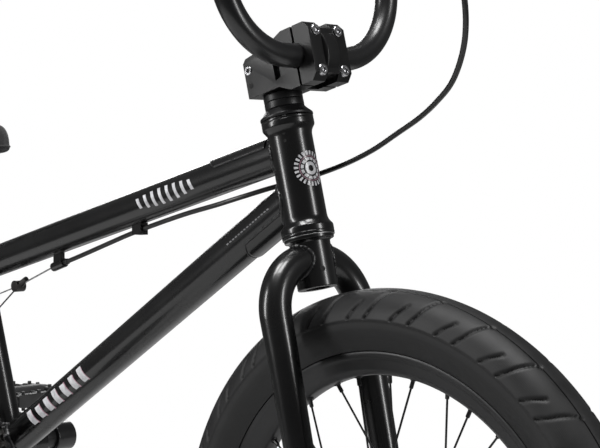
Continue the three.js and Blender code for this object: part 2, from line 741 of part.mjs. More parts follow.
// The tyre's section is an open C: each bead passes over the rim's flange and down inside it.
function tyre() {
  const centre = tyreRadius - TYRE_SECTION_RADIUS;
  const beadAngle = 124;
  const outer = arcPoints(0, centre, TYRE_SECTION_RADIUS, 90 - beadAngle, 90 + beadAngle, 8);
  const inner = arcPoints(0, centre, TYRE_SECTION_RADIUS - TYRE_THICKNESS, 90 + beadAngle - 3,
    90 - beadAngle + 3, 5);
  const lip = RIM_HALF_WIDTH - RIM_WALL;
  const facetDip = RIM_RADIUS * (1 - Math.cos(Math.PI / TYRE_SIDES));
  const overFlange = RIM_RADIUS + facetDip + 2 * GAP;
  const bead = [
    [lip + 1.8, overFlange],
    [lip - 0.8, overFlange],
    [lip - 2.4, RIM_RADIUS - BEAD_DEPTH],
    [lip - 6.2, RIM_RADIUS - BEAD_DEPTH],
    [lip - 4.5, RIM_RADIUS + 2.5],
  ];
  const rightBead = bead.map(([y, r]) => [-y, r]);
  const leftBead = bead.slice().reverse();
  return turnedAcross([...outer, ...rightBead, ...inner, ...leftBead].map(([y, r]) => [r, y]), TYRE_SIDES);
}

function rim() {
  const flat = RIM_HALF_WIDTH - 9.5;
  const floor = RIM_RADIUS - RIM_DEPTH;
  const wall = RIM_WALL;
  const outline = [
    [RIM_RADIUS, -RIM_HALF_WIDTH],
    [floor, -flat],
    [floor, flat],
    [RIM_RADIUS, RIM_HALF_WIDTH],
    [RIM_RADIUS, RIM_HALF_WIDTH - wall],
    [floor + 3, flat - 1],
    [floor + 3, 1 - flat],
    [RIM_RADIUS, wall - RIM_HALF_WIDTH],
  ];
  const ring = turnedAcross(outline, SPOKES);
  const holes = spokeAngles().map((angle) => rod(
    v3(Math.sin(angle), 0, Math.cos(angle)).multiplyScalar(floor - 6),
    v3(Math.sin(angle), 0, Math.cos(angle)).multiplyScalar(floor + 8),
    SPOKE_HOLE_RADIUS,
    SPOKE_HOLE_RADIUS,
    4,
  ));
  return cut(ring, ...holes);
}

function spokeAngles() {
  const angles = [];
  for (let i = 0; i < SPOKES; i += 1) angles.push(rad(FIRST_SPOKE_ANGLE + 360 * i / SPOKES));
  return angles;
}

// Three-cross lacing: spokes leave the flange by its outer and inner face in turn, and all of
// them end in the rim tape, which ties them together.
function spokes(flange) {
  const floor = RIM_RADIUS - RIM_DEPTH + 3 + GAP;
  const tape = turnedAcross([
    [floor, -5.5],
    [floor + 1.6, -5.5],
    [floor + 1.6, 5.5],
    [floor, 5.5],
  ], SPOKES);
  const crossing = 3 * 4 * 180 / SPOKES;
  const laced = [tape];
  spokeAngles().forEach((angle, i) => {
    const left = i % 2 === 0;
    const lead = Math.floor(i / 2) % 2 === 0 ? 1 : -1;
    const hubAngle = angle + lead * rad(crossing);
    const face = lead * (flange.thickness / 2 + GAP + SPOKE_RADIUS + SPOKE_STANDOFF);
    const y = left ? flange.left + face : flange.right - face;
    const hubEnd = v3(
      Math.sin(hubAngle) * (flange.radius - 1),
      y,
      Math.cos(hubAngle) * (flange.radius - 1),
    );
    const rimEnd = v3(Math.sin(angle), 0, Math.cos(angle)).multiplyScalar(floor + 1);
    laced.push(rod(hubEnd, rimEnd, SPOKE_RADIUS, SPOKE_RADIUS, 4));
  });
  return join(...laced);
}

function hubShell(flange, boreRadius, bodyRadius, low, high, lowRadius) {
  const bore = boreRadius + RUNNING;
  const t = flange.thickness / 2;
  return turnedAcross([
    [bore, low],
    [lowRadius, low],
    [lowRadius, flange.right - t],
    [flange.radius, flange.right - t],
    [flange.radius, flange.right + t],
    [bodyRadius, flange.right + t],
    [bodyRadius, flange.left - t],
    [flange.radius, flange.left - t],
    [flange.radius, flange.left + t],
    [bore + 5, flange.left + t],
    [bore + 5, high],
    [bore, high],
  ], 12);
}

// Axle with a hexagon nut and washer outside each dropout plate.
function axle(radius, width, nutRadius) {
  const face = width / 2 + DROPOUT_THICKNESS + GAP;
  const inner = width / 2 - GAP;
  const pieces = [rod(v3(0, -face - 15, 0), v3(0, face + 15, 0), radius, radius, 8)];
  for (const side of [-1, 1]) {
    pieces.push(rod(v3(0, side * face, 0), v3(0, side * (face + 2), 0), nutRadius + 2.5, nutRadius + 2.5, 12));
    pieces.push(rod(v3(0, side * (face + 2), 0), v3(0, side * (face + 10), 0), nutRadius, nutRadius, 6));
    pieces.push(rod(v3(0, side * (inner - 2), 0), v3(0, side * inner, 0), radius + 3, radius + 3, 8));
  }
  return join(...pieces);
}

function addWheels() {
  const front = new THREE.Group();
  front.position.copy(frontAxle);
  bike.add(front);
  add('front_tyre', tyre(), rubber, front);
  add('front_rim', rim(), satinBlack, front);
  add('front_spokes', spokes(FRONT_FLANGE), satinBlack, front);
  const frontEnd = FRONT_WIDTH / 2 - 5;
  add('front_hub', hubShell(FRONT_FLANGE, FRONT_AXLE_RADIUS, 14, -frontEnd, frontEnd, 11), satinBlack, front);
  add('front_axle', axle(FRONT_AXLE_RADIUS, FRONT_WIDTH, 8.5), darkSteel, front);
  const rear = new THREE.Group();
  rear.position.copy(rearAxle);
  bike.add(rear);
  add('rear_tyre', tyre(), rubber, rear);
  add('rear_rim', rim(), satinBlack, rear);
  add('rear_spokes', spokes(REAR_FLANGE), satinBlack, rear);
  const rearLow = -CHAIN_LINE + 7.5;
  const rearHigh = REAR_WIDTH / 2 - 5;
  add('rear_hub', hubShell(REAR_FLANGE, REAR_AXLE_RADIUS, 17, rearLow, rearHigh, 14), satinBlack, rear);
  add('rear_axle', axle(REAR_AXLE_RADIUS, REAR_WIDTH, 11), darkSteel, rear);
  add('rear_driver', driver(), bareSteel, rear);
}

// ---------------------------------------------------------------- drivetrain

const pitchRadius = (teeth) => CHAIN_PITCH / (2 * Math.sin(Math.PI / teeth));
const TOOTH_THICKNESS = 2.4;

// Teeth between roots that clear the rollers and tips that clear the chain's outer wall.
function toothOutline(teeth, turn) {
  const pitch = pitchRadius(teeth);
  const points = [];
  for (let i = 0; i < teeth; i += 1) {
    const centre = turn + 360 * i / teeth;
    const step = 360 / teeth;
    for (const [share, radius] of [[-0.35, pitch - 4], [-0.1, pitch + 2.8], [0.1, pitch + 2.8], [0.35, pitch - 4]]) {
      const angle = rad(centre + share * step);
      points.push([radius * Math.cos(angle), radius * Math.sin(angle)]);
    }
  }
  return points;
}

function sprocket() {
  const windows = [];
  for (let i = 0; i < 5; i += 1) {
    const at = 72 * i;
    windows.push([
      ...arcPoints(0, 0, 37, at - 22, at + 22, 3),
      ...arcPoints(0, 0, 22, at + 14, at - 14, 1),
    ]);
  }
  const y = -CHAIN_LINE;
  const disc = plate(toothOutline(SPROCKET_TEETH, 0), y - TOOTH_THICKNESS / 2, y + TOOTH_THICKNESS / 2, windows);
  const hub = rod(v3(0, y - 3.5, 0), v3(0, y + 3.5, 0), 17, 17, 16);
  return cut(join(disc, hub), rod(v3(0, y - 9, 0), v3(0, y + 9, 0), SPINDLE_RADIUS + GAP, SPINDLE_RADIUS + GAP, 16));
}

function driver() {
  const y = -CHAIN_LINE;
  const cog = plate(toothOutline(DRIVER_TEETH, 0), y - TOOTH_THICKNESS / 2, y + TOOTH_THICKNESS / 2);
  const neck = rod(v3(0, y - 2.7, 0), v3(0, y + 7.2, 0), 12.3, 12.3, 14);
  const bore = REAR_AXLE_RADIUS + RUNNING;
  return cut(join(cog, neck), rod(v3(0, y - 9, 0), v3(0, y + 12, 0), bore, bore, 14));
}

// The chain as one closed belt, grooved on the inside so that both sets of teeth run freely.
function addChain() {
  const big = pitchRadius(SPROCKET_TEETH);
  const small = pitchRadius(DRIVER_TEETH);
  const span = bracket.distanceTo(rearAxle);
  const lean = THREE.MathUtils.radToDeg(Math.asin((big - small) / span));
  const tilt = THREE.MathUtils.radToDeg(Math.atan2(bracketRise, rearCentre));
  const loop = (offset) => [
    ...arcPoints(bracket.x, bracket.z, big + offset, tilt - 90 - lean, tilt + 90 + lean, 14),
    ...arcPoints(rearAxle.x, rearAxle.z, small + offset, tilt + 90 + lean, tilt + 270 - lean, 8),
  ];
  const y = -CHAIN_LINE;
  const belt = plate(loop(CHAIN_HALF_HEIGHT), y - CHAIN_WIDTH / 2, y + CHAIN_WIDTH / 2, [loop(-CHAIN_HALF_HEIGHT)]);
  const groove = plate(loop(CHAIN_HALF_HEIGHT - 0.8), y - 1.8, y + 1.8);
  add('chain', cut(belt, groove), darkSteel);
}

const rightArmWay = v3(Math.cos(rad(CRANK_TILT)), 0, -Math.sin(rad(CRANK_TILT)));

// Arm with a round boss at the spindle and an eye at the pedal, which carries the pedal's spindle.
function crankArm(way, side) {
  const bossIn = CHAIN_LINE + 4.5;
  const bossOut = SPINDLE_LENGTH / 2 + 1;
  const eyeIn = bossIn + 10;
  const eyeOut = eyeIn + 13;
  const eye = way.clone().multiplyScalar(CRANK_LENGTH);
  const arm = join(
    rod(v3(0, side * bossIn, 0), v3(0, side * bossOut, 0), 17, 17, 16),
    rod(way.clone().multiplyScalar(8).setY(side * (bossIn + 10.5)), eye.clone().setY(side * (eyeIn + 6.5)),
      10.5, 8.5, 12),
    rod(eye.clone().setY(side * eyeIn), eye.clone().setY(side * eyeOut), 13.5, 13.5, 14),
    rod(eye.clone().setY(side * eyeOut), eye.clone().setY(side * (eyeOut + PEDAL_WIDTH)),
      PEDAL_AXLE_RADIUS, PEDAL_AXLE_RADIUS, 12),
  );
  const bore = SPINDLE_RADIUS + GAP;
  return cut(arm, rod(v3(0, side * (bossIn - 5), 0), v3(0, side * (bossOut - 2), 0), bore, bore, 16));
}

function addDrivetrain() {
  const centre = new THREE.Group();
  centre.position.copy(bracket);
  bike.add(centre);
  add('crank_spindle', rod(
    v3(0, 2.4 - SPINDLE_LENGTH / 2, 0),
    v3(0, SPINDLE_LENGTH / 2 - 2.4, 0),
    SPINDLE_RADIUS,
    SPINDLE_RADIUS,
    20,
  ), darkSteel, centre);
  const bearing = (side) => pipe(
    v3(0, side * (SHELL_WIDTH / 2 - 11), 0),
    v3(0, side * (SHELL_WIDTH / 2 - 1), 0),
    SHELL_RADIUS - SHELL_WALL - GAP - 0.2,
    SPINDLE_RADIUS + GAP,
    16,
  );
  add('bracket_bearing_right', bearing(-1), darkSteel, centre);
  add('bracket_bearing_left', bearing(1), darkSteel, centre);
  const leftArmWay = rightArmWay.clone().negate();
  add('crank_arm_right', crankArm(rightArmWay, -1), satinBlack, centre);
  add('crank_arm_left', crankArm(leftArmWay, 1), satinBlack, centre);
  add('sprocket', sprocket(), satinBlack, centre);
  addPedal('pedal_right', rightArmWay, -1);
  addPedal('pedal_left', leftArmWay, 1);
}

// Platform with a solid spine over the spindle and a window ahead of and behind it.
function addPedal(name, way, side) {
  const eyeOut = CHAIN_LINE + 4.5 + 10 + 13;
  const inner = eyeOut + 6;
  const outer = inner + PEDAL_WIDTH;
  const l = PEDAL_LENGTH / 2;
  const t = PEDAL_THICKNESS / 2;
  const y0 = Math.min(side * inner, side * outer);
  const y1 = Math.max(side * inner, side * outer);
  const body = block(v3(-l, y0, -t), v3(l, y1, t));
  const tools = [];
  for (const end of [-1, 1]) {
    const near = end * 14;
    const far = end * (l - 10);
    tools.push(block(v3(Math.min(near, far), y0 + 12, -t - 1), v3(Math.max(near, far), y1 - 12, t + 1)));
  }
  for (const corner of [[-1, -1], [-1, 1], [1, -1], [1, 1]]) {
    const cornerTool = block(v3(-9, -9, -t - 1), v3(9, 9, t + 1)).rotate([0, 0, 45]);
    tools.push(shift(cornerTool, corner[0] * (l + 4), corner[1] > 0 ? y1 + 4 : y0 - 4, 0));
  }
  const bore = PEDAL_AXLE_RADIUS + RUNNING;
  tools.push(rod(v3(0, side * (inner - 3), 0), v3(0, side * (outer - 3), 0), bore, bore, 16));
  const pedal = new THREE.Group();
  pedal.position.copy(bracket).addScaledVector(way, CRANK_LENGTH);
  bike.add(pedal);
  add(name, cut(body, ...tools), plastic, pedal);
}

// ---------------------------------------------------------------- seat

function addSeat() {
  const saddleFoot = SADDLE_TOP_HEIGHT - SADDLE_PAD_HEIGHT - 30;
  const postTop = onSeatTube((saddleFoot - BRACKET_HEIGHT) / seatUp.z);
  add('seat_post', pipe(onSeatTube(SEAT_TUBE_LENGTH - POST_INSERTION), postTop, POST_RADIUS, POST_RADIUS - 2, 16),
    blackPaint);
  const clampLow = onSeatTube(SEAT_TUBE_LENGTH - 15);
  const clampHigh = onSeatTube(SEAT_TUBE_LENGTH + 1.5);
  const ears = block(v3(-9, -8, -7), v3(9, 8, 7)).rotate([0, SEAT_ANGLE - 90, 0]);
  const earPlace = onSeatTube(SEAT_TUBE_LENGTH - 7).add(v3(-22, 0, -4));
  const ring = join(rod(clampLow, clampHigh, SEAT_TUBE_RADIUS + 4.2, SEAT_TUBE_RADIUS + 4.2, 16),
    ears.translate(earPlace.toArray()));
  const slit = block(v3(-40, -1, -12), v3(-8, 1, 12)).rotate([0, SEAT_ANGLE - 90, 0]);
  add('seat_clamp', cut(
    ring,
    drill(clampLow, clampHigh, POST_RADIUS + GAP + 0.2, 16),
    rod(onSeatTube(SEAT_TUBE_LENGTH - 40), onSeatTube(SEAT_TUBE_LENGTH + GAP), SEAT_TUBE_RADIUS + GAP,
      SEAT_TUBE_RADIUS + GAP, 16),
    slit.translate(onSeatTube(SEAT_TUBE_LENGTH - 7).toArray()),
  ), satinBlack);
  addSaddle(postTop);
}

// Half of the seat's outline seen from above, nose forward, as [back from the nose, half width].
function saddleOutline(inset) {
  const nose = SADDLE_NOSE_HALF_WIDTH;
  const wide = SADDLE_HALF_WIDTH;
  const side = [
    [0, nose * 0.45],
    [6, nose * 0.8],
    [20, nose],
    [90, nose + 6],
    [150, wide * 0.7],
    [195, wide * 0.97],
    [225, wide],
    [SADDLE_LENGTH - 12, wide * 0.82],
    [SADDLE_LENGTH, wide * 0.45],
  ];
  const trim = ([back, across]) => {
    const share = back / SADDLE_LENGTH;
    return [-(back + inset * (1 - 2 * share)), across - inset * 0.8];
  };
  const right = side.map(trim).map(([x, y]) => new THREE.Vector2(x, -y));
  const left = side.map(trim).map(([x, y]) => new THREE.Vector2(x, y)).reverse();
  return new THREE.Shape([...right, ...left]);
}

function addSaddle(postTop) {
  const seat = new THREE.Group();
  seat.position.set(SADDLE_NOSE_X, 0, SADDLE_TOP_HEIGHT - SADDLE_PAD_HEIGHT);
  seat.rotation.y = -rad(SADDLE_TILT);
  seat.updateMatrixWorld(true);
  bike.add(seat);
  const bevel = 5;
  const pad = new THREE.ExtrudeGeometry(saddleOutline(bevel), {
    depth: SADDLE_PAD_HEIGHT - 2 * bevel,
    bevelSize: bevel,
    bevelThickness: bevel,
    bevelSegments: 2,
  });
  pad.translate(0, 0, bevel);
  add('saddle_pad', solid(pad), padCover, seat);
  const tray = new THREE.ExtrudeGeometry(saddleOutline(10), { depth: 6, bevelEnabled: false });
  tray.translate(0, 0, -6 - GAP);
  const intoSeat = seat.matrixWorld.clone().invert();
  const foot = postTop.clone().addScaledVector(seatUp, -24).applyMatrix4(intoSeat);
  const head = postTop.clone().addScaledVector(seatUp, 26).applyMatrix4(intoSeat);
  const socketFloor = postTop.clone().addScaledVector(seatUp, GAP).applyMatrix4(intoSeat);
  const socket = join(
    solid(tray),
    rod(foot, head, POST_RADIUS + 5, POST_RADIUS + 9, 20),
  );
  const trimmed = cut(
    socket,
    rod(foot.clone().lerp(socketFloor, -0.3), socketFloor, POST_RADIUS + GAP, POST_RADIUS + GAP, 20),
    block(v3(-SADDLE_LENGTH - 20, -90, -GAP), v3(20, 90, 90)),
  );
  add('saddle_base', trimmed, plastic, seat);
}

// ---------------------------------------------------------------- rear brake

// The housing's centre line from the lever to the stop under the top tube, chosen by hand.
const housingRoute = [
  [368, -183, 962], [387, -160, 962], [413, -139, 958], [447, -122, 949], [486, -109, 934],
  [523, -98, 910], [553, -88, 877], [573, -78, 840], [581, -67, 803], [580, -55, 769],
  [571, -42, 744], [557, -30, 724], [538, -18, 706], [514, -7, 692], [485, 5, 679],
  [452, 14, 666], [417, 22, 652], [380, 28, 640], [343, 30.5, 630], [313, 25, 622],
  [288, 15, 615], [262, 5, 607], [230, 0, 598.5], [188, 0, 589.5], [144, 0, 578.5],
  [100, 0, 566.5], [58, 0, 553.5], [15, 0, 540], [-25, 0, 528],
].map(([x, y, z]) => v3(x, y, z));
const stopPlace = housingRoute[housingRoute.length - 1];
const stopWay = stopPlace.clone().sub(housingRoute[housingRoute.length - 2]).normalize();
const hangerPlace = v3(-99.5, 0, 501);
const ARM_THICKNESS = 5.5;
const armLayer = (pivotSide) => (pivotSide > 0 ? 12.5 : 20.5);
const armEnd = (side, length = 0) => onStay(
  BRAKE_END_REACH - length,
  side * BRAKE_END_SPREAD,
  armLayer(-side) + ARM_THICKNESS / 2,
);

function addBrakeCable() {
  const route = new THREE.CatmullRomCurve3(housingRoute, false, 'centripetal');
  const steps = 52;
  const stations = route.getSpacedPoints(steps);
  add('brake_housing', swept(stations, HOUSING_RADIUS, 0, 6), cableCover);
  const guideAt = 114;
  const t = (guideAt - topTubeRear.x) / (topTubeFront.x - topTubeRear.x);
  const tubeCentre = topTubeRear.clone().lerp(topTubeFront, t);
  const tubeCutter = rod(topTubeRear, topTubeFront, TOP_TUBE_RADIUS + GAP, TOP_TUBE_RADIUS + GAP, 20);
  const housingCutter = swept(stations.filter((p) => p.x < 250 && p.y < 5), HOUSING_RADIUS + RUNNING * 2, 0, 8);
  const guideLow = tubeCentre.z - TOP_TUBE_RADIUS - 11;
  const guide = block(v3(guideAt - 7, -5, guideLow), v3(guideAt + 7, 5, tubeCentre.z));
  add('cable_guide', cut(guide, tubeCutter, housingCutter), blackPaint);
  const stopEnd = stopPlace.clone().addScaledVector(stopWay, 9);
  const stop = join(
    rod(stopPlace.clone().addScaledVector(stopWay, -12), stopEnd, 5, 5, 12),
    block(v3(stopPlace.x - 6, -2.5, stopPlace.z), v3(stopPlace.x + 8, 2.5, stopPlace.z + 26)),
  );
  const wireBore = drill(stopPlace, stopEnd, WIRE_RADIUS + GAP, 8);
  const socket = rod(
    stopPlace.clone().addScaledVector(stopWay, -20),
    stopPlace.clone().addScaledVector(stopWay, GAP),
    HOUSING_RADIUS + GAP,
    HOUSING_RADIUS + GAP,
    12,
  );
  add('cable_stop', cut(stop, tubeCutter, wireBore, socket, housingCutter), blackPaint);
}

// The bare wire from the stop to the hanger, and on to an arm on each side of the seat tube.
function addBrakeWire() {
  const start = stopPlace.clone().addScaledVector(stopWay, 2 * GAP);
  const bendPoint = stopPlace.clone().addScaledVector(stopWay, 14);
  const branch = (side, radius) => rod(hangerPlace, armEnd(side, 6), radius, radius, 6);
  const wire = (radius) => join(
    swept([start, bendPoint, hangerPlace], radius, 0, 6),
    branch(1, radius),
    branch(-1, radius),
  );
  add('brake_wire', wire(WIRE_RADIUS), bareSteel);
  const hanger = join(
    rod(v3(hangerPlace.x, -6, hangerPlace.z), v3(hangerPlace.x, 6, hangerPlace.z), 6.5, 6.5, 16),
    rod(v3(hangerPlace.x + 4, 0, hangerPlace.z + 2), v3(hangerPlace.x + 15, 0, hangerPlace.z + 9), 4, 3, 10),
  );
  add('straddle_hanger', cut(hanger, wire(WIRE_RADIUS + GAP)), darkSteel);
}

// Crossing arms: each turns on a boss below its own stay and reaches over to the other side.
function brakeArm(side) {
  const near = armLayer(side);
  const far = near + ARM_THICKNESS;
  const middle = (near + far) / 2;
  const shoeRadius = RIM_RADIUS - BRAKE_SHOE_DROP;
  const shoeReach = Math.sqrt(shoeRadius ** 2 - middle ** 2);
  const bar = (points) => {
    const shape = new THREE.Shape(points.map(([r, y]) => new THREE.Vector2(r, y)));
    const geometry = new THREE.ExtrudeGeometry(shape, { depth: far - near, bevelEnabled: false });
    const frame = new THREE.Matrix4().makeBasis(stayWay, v3(0, 1, 0), belowStay.clone().negate());
    frame.setPosition(rearAxle.clone().addScaledVector(belowStay, far));
    geometry.applyMatrix4(frame);
    return solid(geometry);
  };
  const s = side;
  const arm = bar([
    [shoeReach - 8, s * (BRAKE_PIVOT_SPREAD - 7)],
    [BRAKE_PIVOT_REACH - 6, s * (BRAKE_PIVOT_SPREAD - 9)],
    [BRAKE_PIVOT_REACH + 36, s * (BRAKE_PIVOT_SPREAD - 10)],
    [BRAKE_END_REACH - 34, -s * (BRAKE_END_SPREAD - 16)],
    [BRAKE_END_REACH - 14, -s * (BRAKE_END_SPREAD + 5)],
    [BRAKE_END_REACH - 2, -s * (BRAKE_END_SPREAD + 5)],
    [BRAKE_END_REACH - 2, -s * (BRAKE_END_SPREAD - 6)],
    [BRAKE_END_REACH - 20, -s * (BRAKE_END_SPREAD - 20)],
    [BRAKE_PIVOT_REACH + 44, s * (BRAKE_PIVOT_SPREAD + 5)],
    [BRAKE_PIVOT_REACH - 6, s * (BRAKE_PIVOT_SPREAD + 9)],
    [shoeReach - 8, s * (BRAKE_PIVOT_SPREAD + 3)],
  ]);
  const boss = rod(
    onStay(BRAKE_PIVOT_REACH, side * BRAKE_PIVOT_SPREAD, STAY_RADIUS + 1.5),
    onStay(BRAKE_PIVOT_REACH, side * BRAKE_PIVOT_SPREAD, far + 3),
    8,
    8,
    16,
  );
  const padFace = RIM_HALF_WIDTH + PAD_CLEARANCE;
  const padBack = onStay(shoeReach, side * (padFace + BRAKE_SHOE_DEPTH), middle);
  const pad = block(
    v3(-BRAKE_SHOE_HALF_LENGTH, 0, -BRAKE_SHOE_HALF_HEIGHT),
    v3(BRAKE_SHOE_HALF_LENGTH, BRAKE_SHOE_DEPTH, BRAKE_SHOE_HALF_HEIGHT),
  );
  // The shoe lies along the rim: square to the line from the axle to its own middle.
  const alongRim = belowStay.clone().multiplyScalar(shoeReach / shoeRadius)
    .addScaledVector(stayWay, -middle / shoeRadius);
  const tilt = THREE.MathUtils.radToDeg(Math.atan2(alongRim.z, alongRim.x));
  const shoe = pad.rotate([0, -tilt, 0]).translate(
    onStay(shoeReach, side > 0 ? padFace : -padFace - BRAKE_SHOE_DEPTH, middle).toArray(),
  );
  const stud = rod(padBack.clone().setY(side * (padFace + 8)), padBack.clone().setY(side * BRAKE_PIVOT_SPREAD), 3, 3, 10);
  const wireHole = drill(hangerPlace, armEnd(-side, 6), WIRE_RADIUS + 2 * GAP, 8, 4);
  return cut(join(arm, boss, shoe, stud), wireHole);
}

function addBrakeArms() {
  add('brake_arm_left', brakeArm(1), satinBlack);
  add('brake_arm_right', brakeArm(-1), satinBlack);
}

// The lever turns on a pin ahead of the bar; its clamp sits just inside the right grip.
function addLever() {
  const clampAt = 14;
  const clampHalf = 8;
  const centre = alongGrip(-1, clampAt);
  const way = alongGrip(-1, 20).sub(alongGrip(-1, 0)).normalize();
  const ahead = v3(way.y, -way.x, 0).multiplyScalar(-1).normalize();
  const at = (along, forward, up) => centre.clone()
    .addScaledVector(way, along)
    .addScaledVector(ahead, forward)
    .add(v3(0, 0, up));
  const turn = THREE.MathUtils.radToDeg(Math.atan2(way.y, way.x));
  const box = (low, high, place) => block(low, high).rotate([0, 0, turn]).translate(place.toArray());
  const pivot = at(2, 30, 0);
  const flip = ahead.clone().cross(way).z;
  const lowHigh = (a, b) => (flip > 0 ? [v3(a.x, a.y, a.z), v3(b.x, b.y, b.z)]
    : [v3(a.x, -b.y, a.z), v3(b.x, -a.y, b.z)]);
  const mountBody = join(
    rod(at(-clampHalf, 0, 0), at(clampHalf, 0, 0), BAR_RADIUS + 5, BAR_RADIUS + 5, 20),
    box(...lowHigh(v3(-clampHalf, -40, -8), v3(clampHalf, -8, 8)), centre),
    rod(at(-clampHalf + 2, 24, 0), at(-clampHalf - 14, 27, 0), 5.5, 4, 12),
  );
  const leverSlot = box(...lowHigh(v3(-clampHalf - 1, -50, -4.4), v3(clampHalf + 1, -20, 4.4)), centre);
  const mount = cut(
    mountBody,
    drill(at(-clampHalf, 0, 0), at(clampHalf, 0, 0), BAR_RADIUS + GAP, 20),
    leverSlot,
  );
  const exitNear = at(-clampHalf + 2, 24, 0);
  const exitFar = at(-clampHalf - 14, 27, 0);
  const adjuster = rod(exitNear, exitFar, 5.5, 4, 12);
  const start = housingRoute[0].clone().applyMatrix4(steering.matrixWorld.clone().invert());
  const housingHole = rod(exitFar.clone().lerp(exitNear, 0.3), start, HOUSING_RADIUS + 1, HOUSING_RADIUS + 1, 10);
  add('lever_mount', cut(join(mount, cut(adjuster, leverSlot)), housingHole), satinBlack, steering);
  const blade = swept([
    at(-3, 30, 0),
    at(14, 33.5, 0),
    at(32, 42, 0),
    at(50, 47, 0),
    at(LEVER_LENGTH - 12, 47.2, 0),
    at(LEVER_LENGTH, 44, 0),
  ], 3.9, 0, 8);
  const eye = rod(pivot.clone().add(v3(0, 0, -3.9)), pivot.clone().add(v3(0, 0, 3.9)), 7, 7, 14);
  add('brake_lever', join(blade, eye), satinBlack, steering);
}

addHeadTube();
addMainTubes();
addStays();
addHeadset();
addFork();
addStem();
addHandlebar();
addWheels();
addChain();
addDrivetrain();
addSeat();
addBrakeCable();
addBrakeWire();
addBrakeArms();
addLever();

export default bike;
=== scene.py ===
import json
import math

import bmesh
import bpy
import numpy as np
from mathutils import Matrix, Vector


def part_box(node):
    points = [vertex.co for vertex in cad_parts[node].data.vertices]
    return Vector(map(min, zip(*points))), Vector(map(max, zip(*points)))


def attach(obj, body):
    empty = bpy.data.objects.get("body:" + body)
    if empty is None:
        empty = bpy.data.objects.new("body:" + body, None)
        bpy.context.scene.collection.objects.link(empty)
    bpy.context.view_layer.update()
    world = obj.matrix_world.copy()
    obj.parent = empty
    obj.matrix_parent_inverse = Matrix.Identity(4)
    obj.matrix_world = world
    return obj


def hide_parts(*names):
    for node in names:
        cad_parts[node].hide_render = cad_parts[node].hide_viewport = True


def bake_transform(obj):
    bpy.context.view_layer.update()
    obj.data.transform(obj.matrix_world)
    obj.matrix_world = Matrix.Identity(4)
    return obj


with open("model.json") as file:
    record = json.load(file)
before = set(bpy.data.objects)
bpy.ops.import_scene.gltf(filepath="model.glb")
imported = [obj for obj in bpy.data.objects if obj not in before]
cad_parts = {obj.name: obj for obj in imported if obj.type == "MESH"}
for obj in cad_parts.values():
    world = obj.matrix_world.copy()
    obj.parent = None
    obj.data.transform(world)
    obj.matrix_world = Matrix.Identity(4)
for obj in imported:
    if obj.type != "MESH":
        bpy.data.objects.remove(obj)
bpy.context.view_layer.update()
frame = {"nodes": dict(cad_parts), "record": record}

joints = {j["name"]: j for j in frame["record"]["behaviour"]["joints"]}


# ------------------------------------------------------------------ camera, floor and light
# A camera to the right and ahead of the bicycle, over a plain pale floor, with four soft lights
# and a dim surround that the camera itself sees as white.
def facing(azimuth, elevation):
    """The camera's three axes: across, up and back, for a bearing and a height in degrees."""
    a, e = math.radians(azimuth), math.radians(elevation)
    back = np.array([math.sin(a) * math.cos(e), -math.cos(a) * math.cos(e), math.sin(e)])
    across = np.array([math.cos(a), math.sin(a), 0.0])
    return across, np.cross(back, across), back


def aimed(thing, place, axes):
    """Puts a camera or a light at a place with its axes in the columns of its matrix."""
    matrix = np.eye(4)
    matrix[:3, 0], matrix[:3, 1], matrix[:3, 2] = axes
    matrix[:3, 3] = place
    thing.matrix_world = Matrix(matrix.tolist())
    bpy.context.scene.collection.objects.link(thing)
    return thing


view_camera = bpy.data.cameras.new("view")
view_camera.sensor_width = 36.0
view_camera.lens = 91.5
view_camera.clip_end = 60.0
bpy.context.scene.camera = aimed(
    bpy.data.objects.new("view", view_camera), [1.3325, -1.0254, 0.6342], facing(43.92, 2.07))


def soft_light(name, place, target, wide, high, power):
    """An area light that stands at a place and faces a target."""
    data = bpy.data.lights.new(name, "AREA")
    data.shape = "RECTANGLE"
    data.size, data.size_y, data.energy = wide, high, power
    place = np.array(place, float)
    back = place - np.array(target, float)
    back /= np.linalg.norm(back)
    across = np.cross([0.0, 0.0, 1.0], back)
    across /= np.linalg.norm(across)
    aimed(bpy.data.objects.new(name, data), place, (across, np.cross(back, across), back))


soft_light("overhead", [0.3, -0.5, 3.0], [0.1, 0.0, 0.5], 1.6, 0.8, 84)
soft_light("side_strip", [-1.4, -2.7, 1.5], [0.1, 0.0, 0.6], 0.5, 2.2, 62)
soft_light("front_strip", [3.3, 0.7, 1.3], [0.4, 0.0, 0.6], 0.5, 2.2, 50)
soft_light("rear_fill", [-2.6, 2.2, 1.8], [0.0, 0.0, 0.5], 1.2, 1.4, 30)

surround = bpy.data.worlds.new("surround")
surround.use_nodes = True
bpy.context.scene.world = surround
bpy.context.scene.view_settings.view_transform = "Standard"
sky = surround.node_tree
sky.nodes.clear()
path = sky.nodes.new("ShaderNodeLightPath")
dim = sky.nodes.new("ShaderNodeBackground")
dim.inputs["Color"].default_value = (1.0, 1.0, 1.0, 1.0)
dim.inputs["Strength"].default_value = 0.11
bright = sky.nodes.new("ShaderNodeBackground")
bright.inputs["Color"].default_value = (1.0, 1.0, 1.0, 1.0)
bright.inputs["Strength"].default_value = 1.0
either = sky.nodes.new("ShaderNodeMixShader")
out = sky.nodes.new("ShaderNodeOutputWorld")
sky.links.new(path.outputs["Is Camera Ray"], either.inputs[0])
sky.links.new(dim.outputs[0], either.inputs[1])
sky.links.new(bright.outputs[0], either.inputs[2])
sky.links.new(either.outputs[0], out.inputs["Surface"])


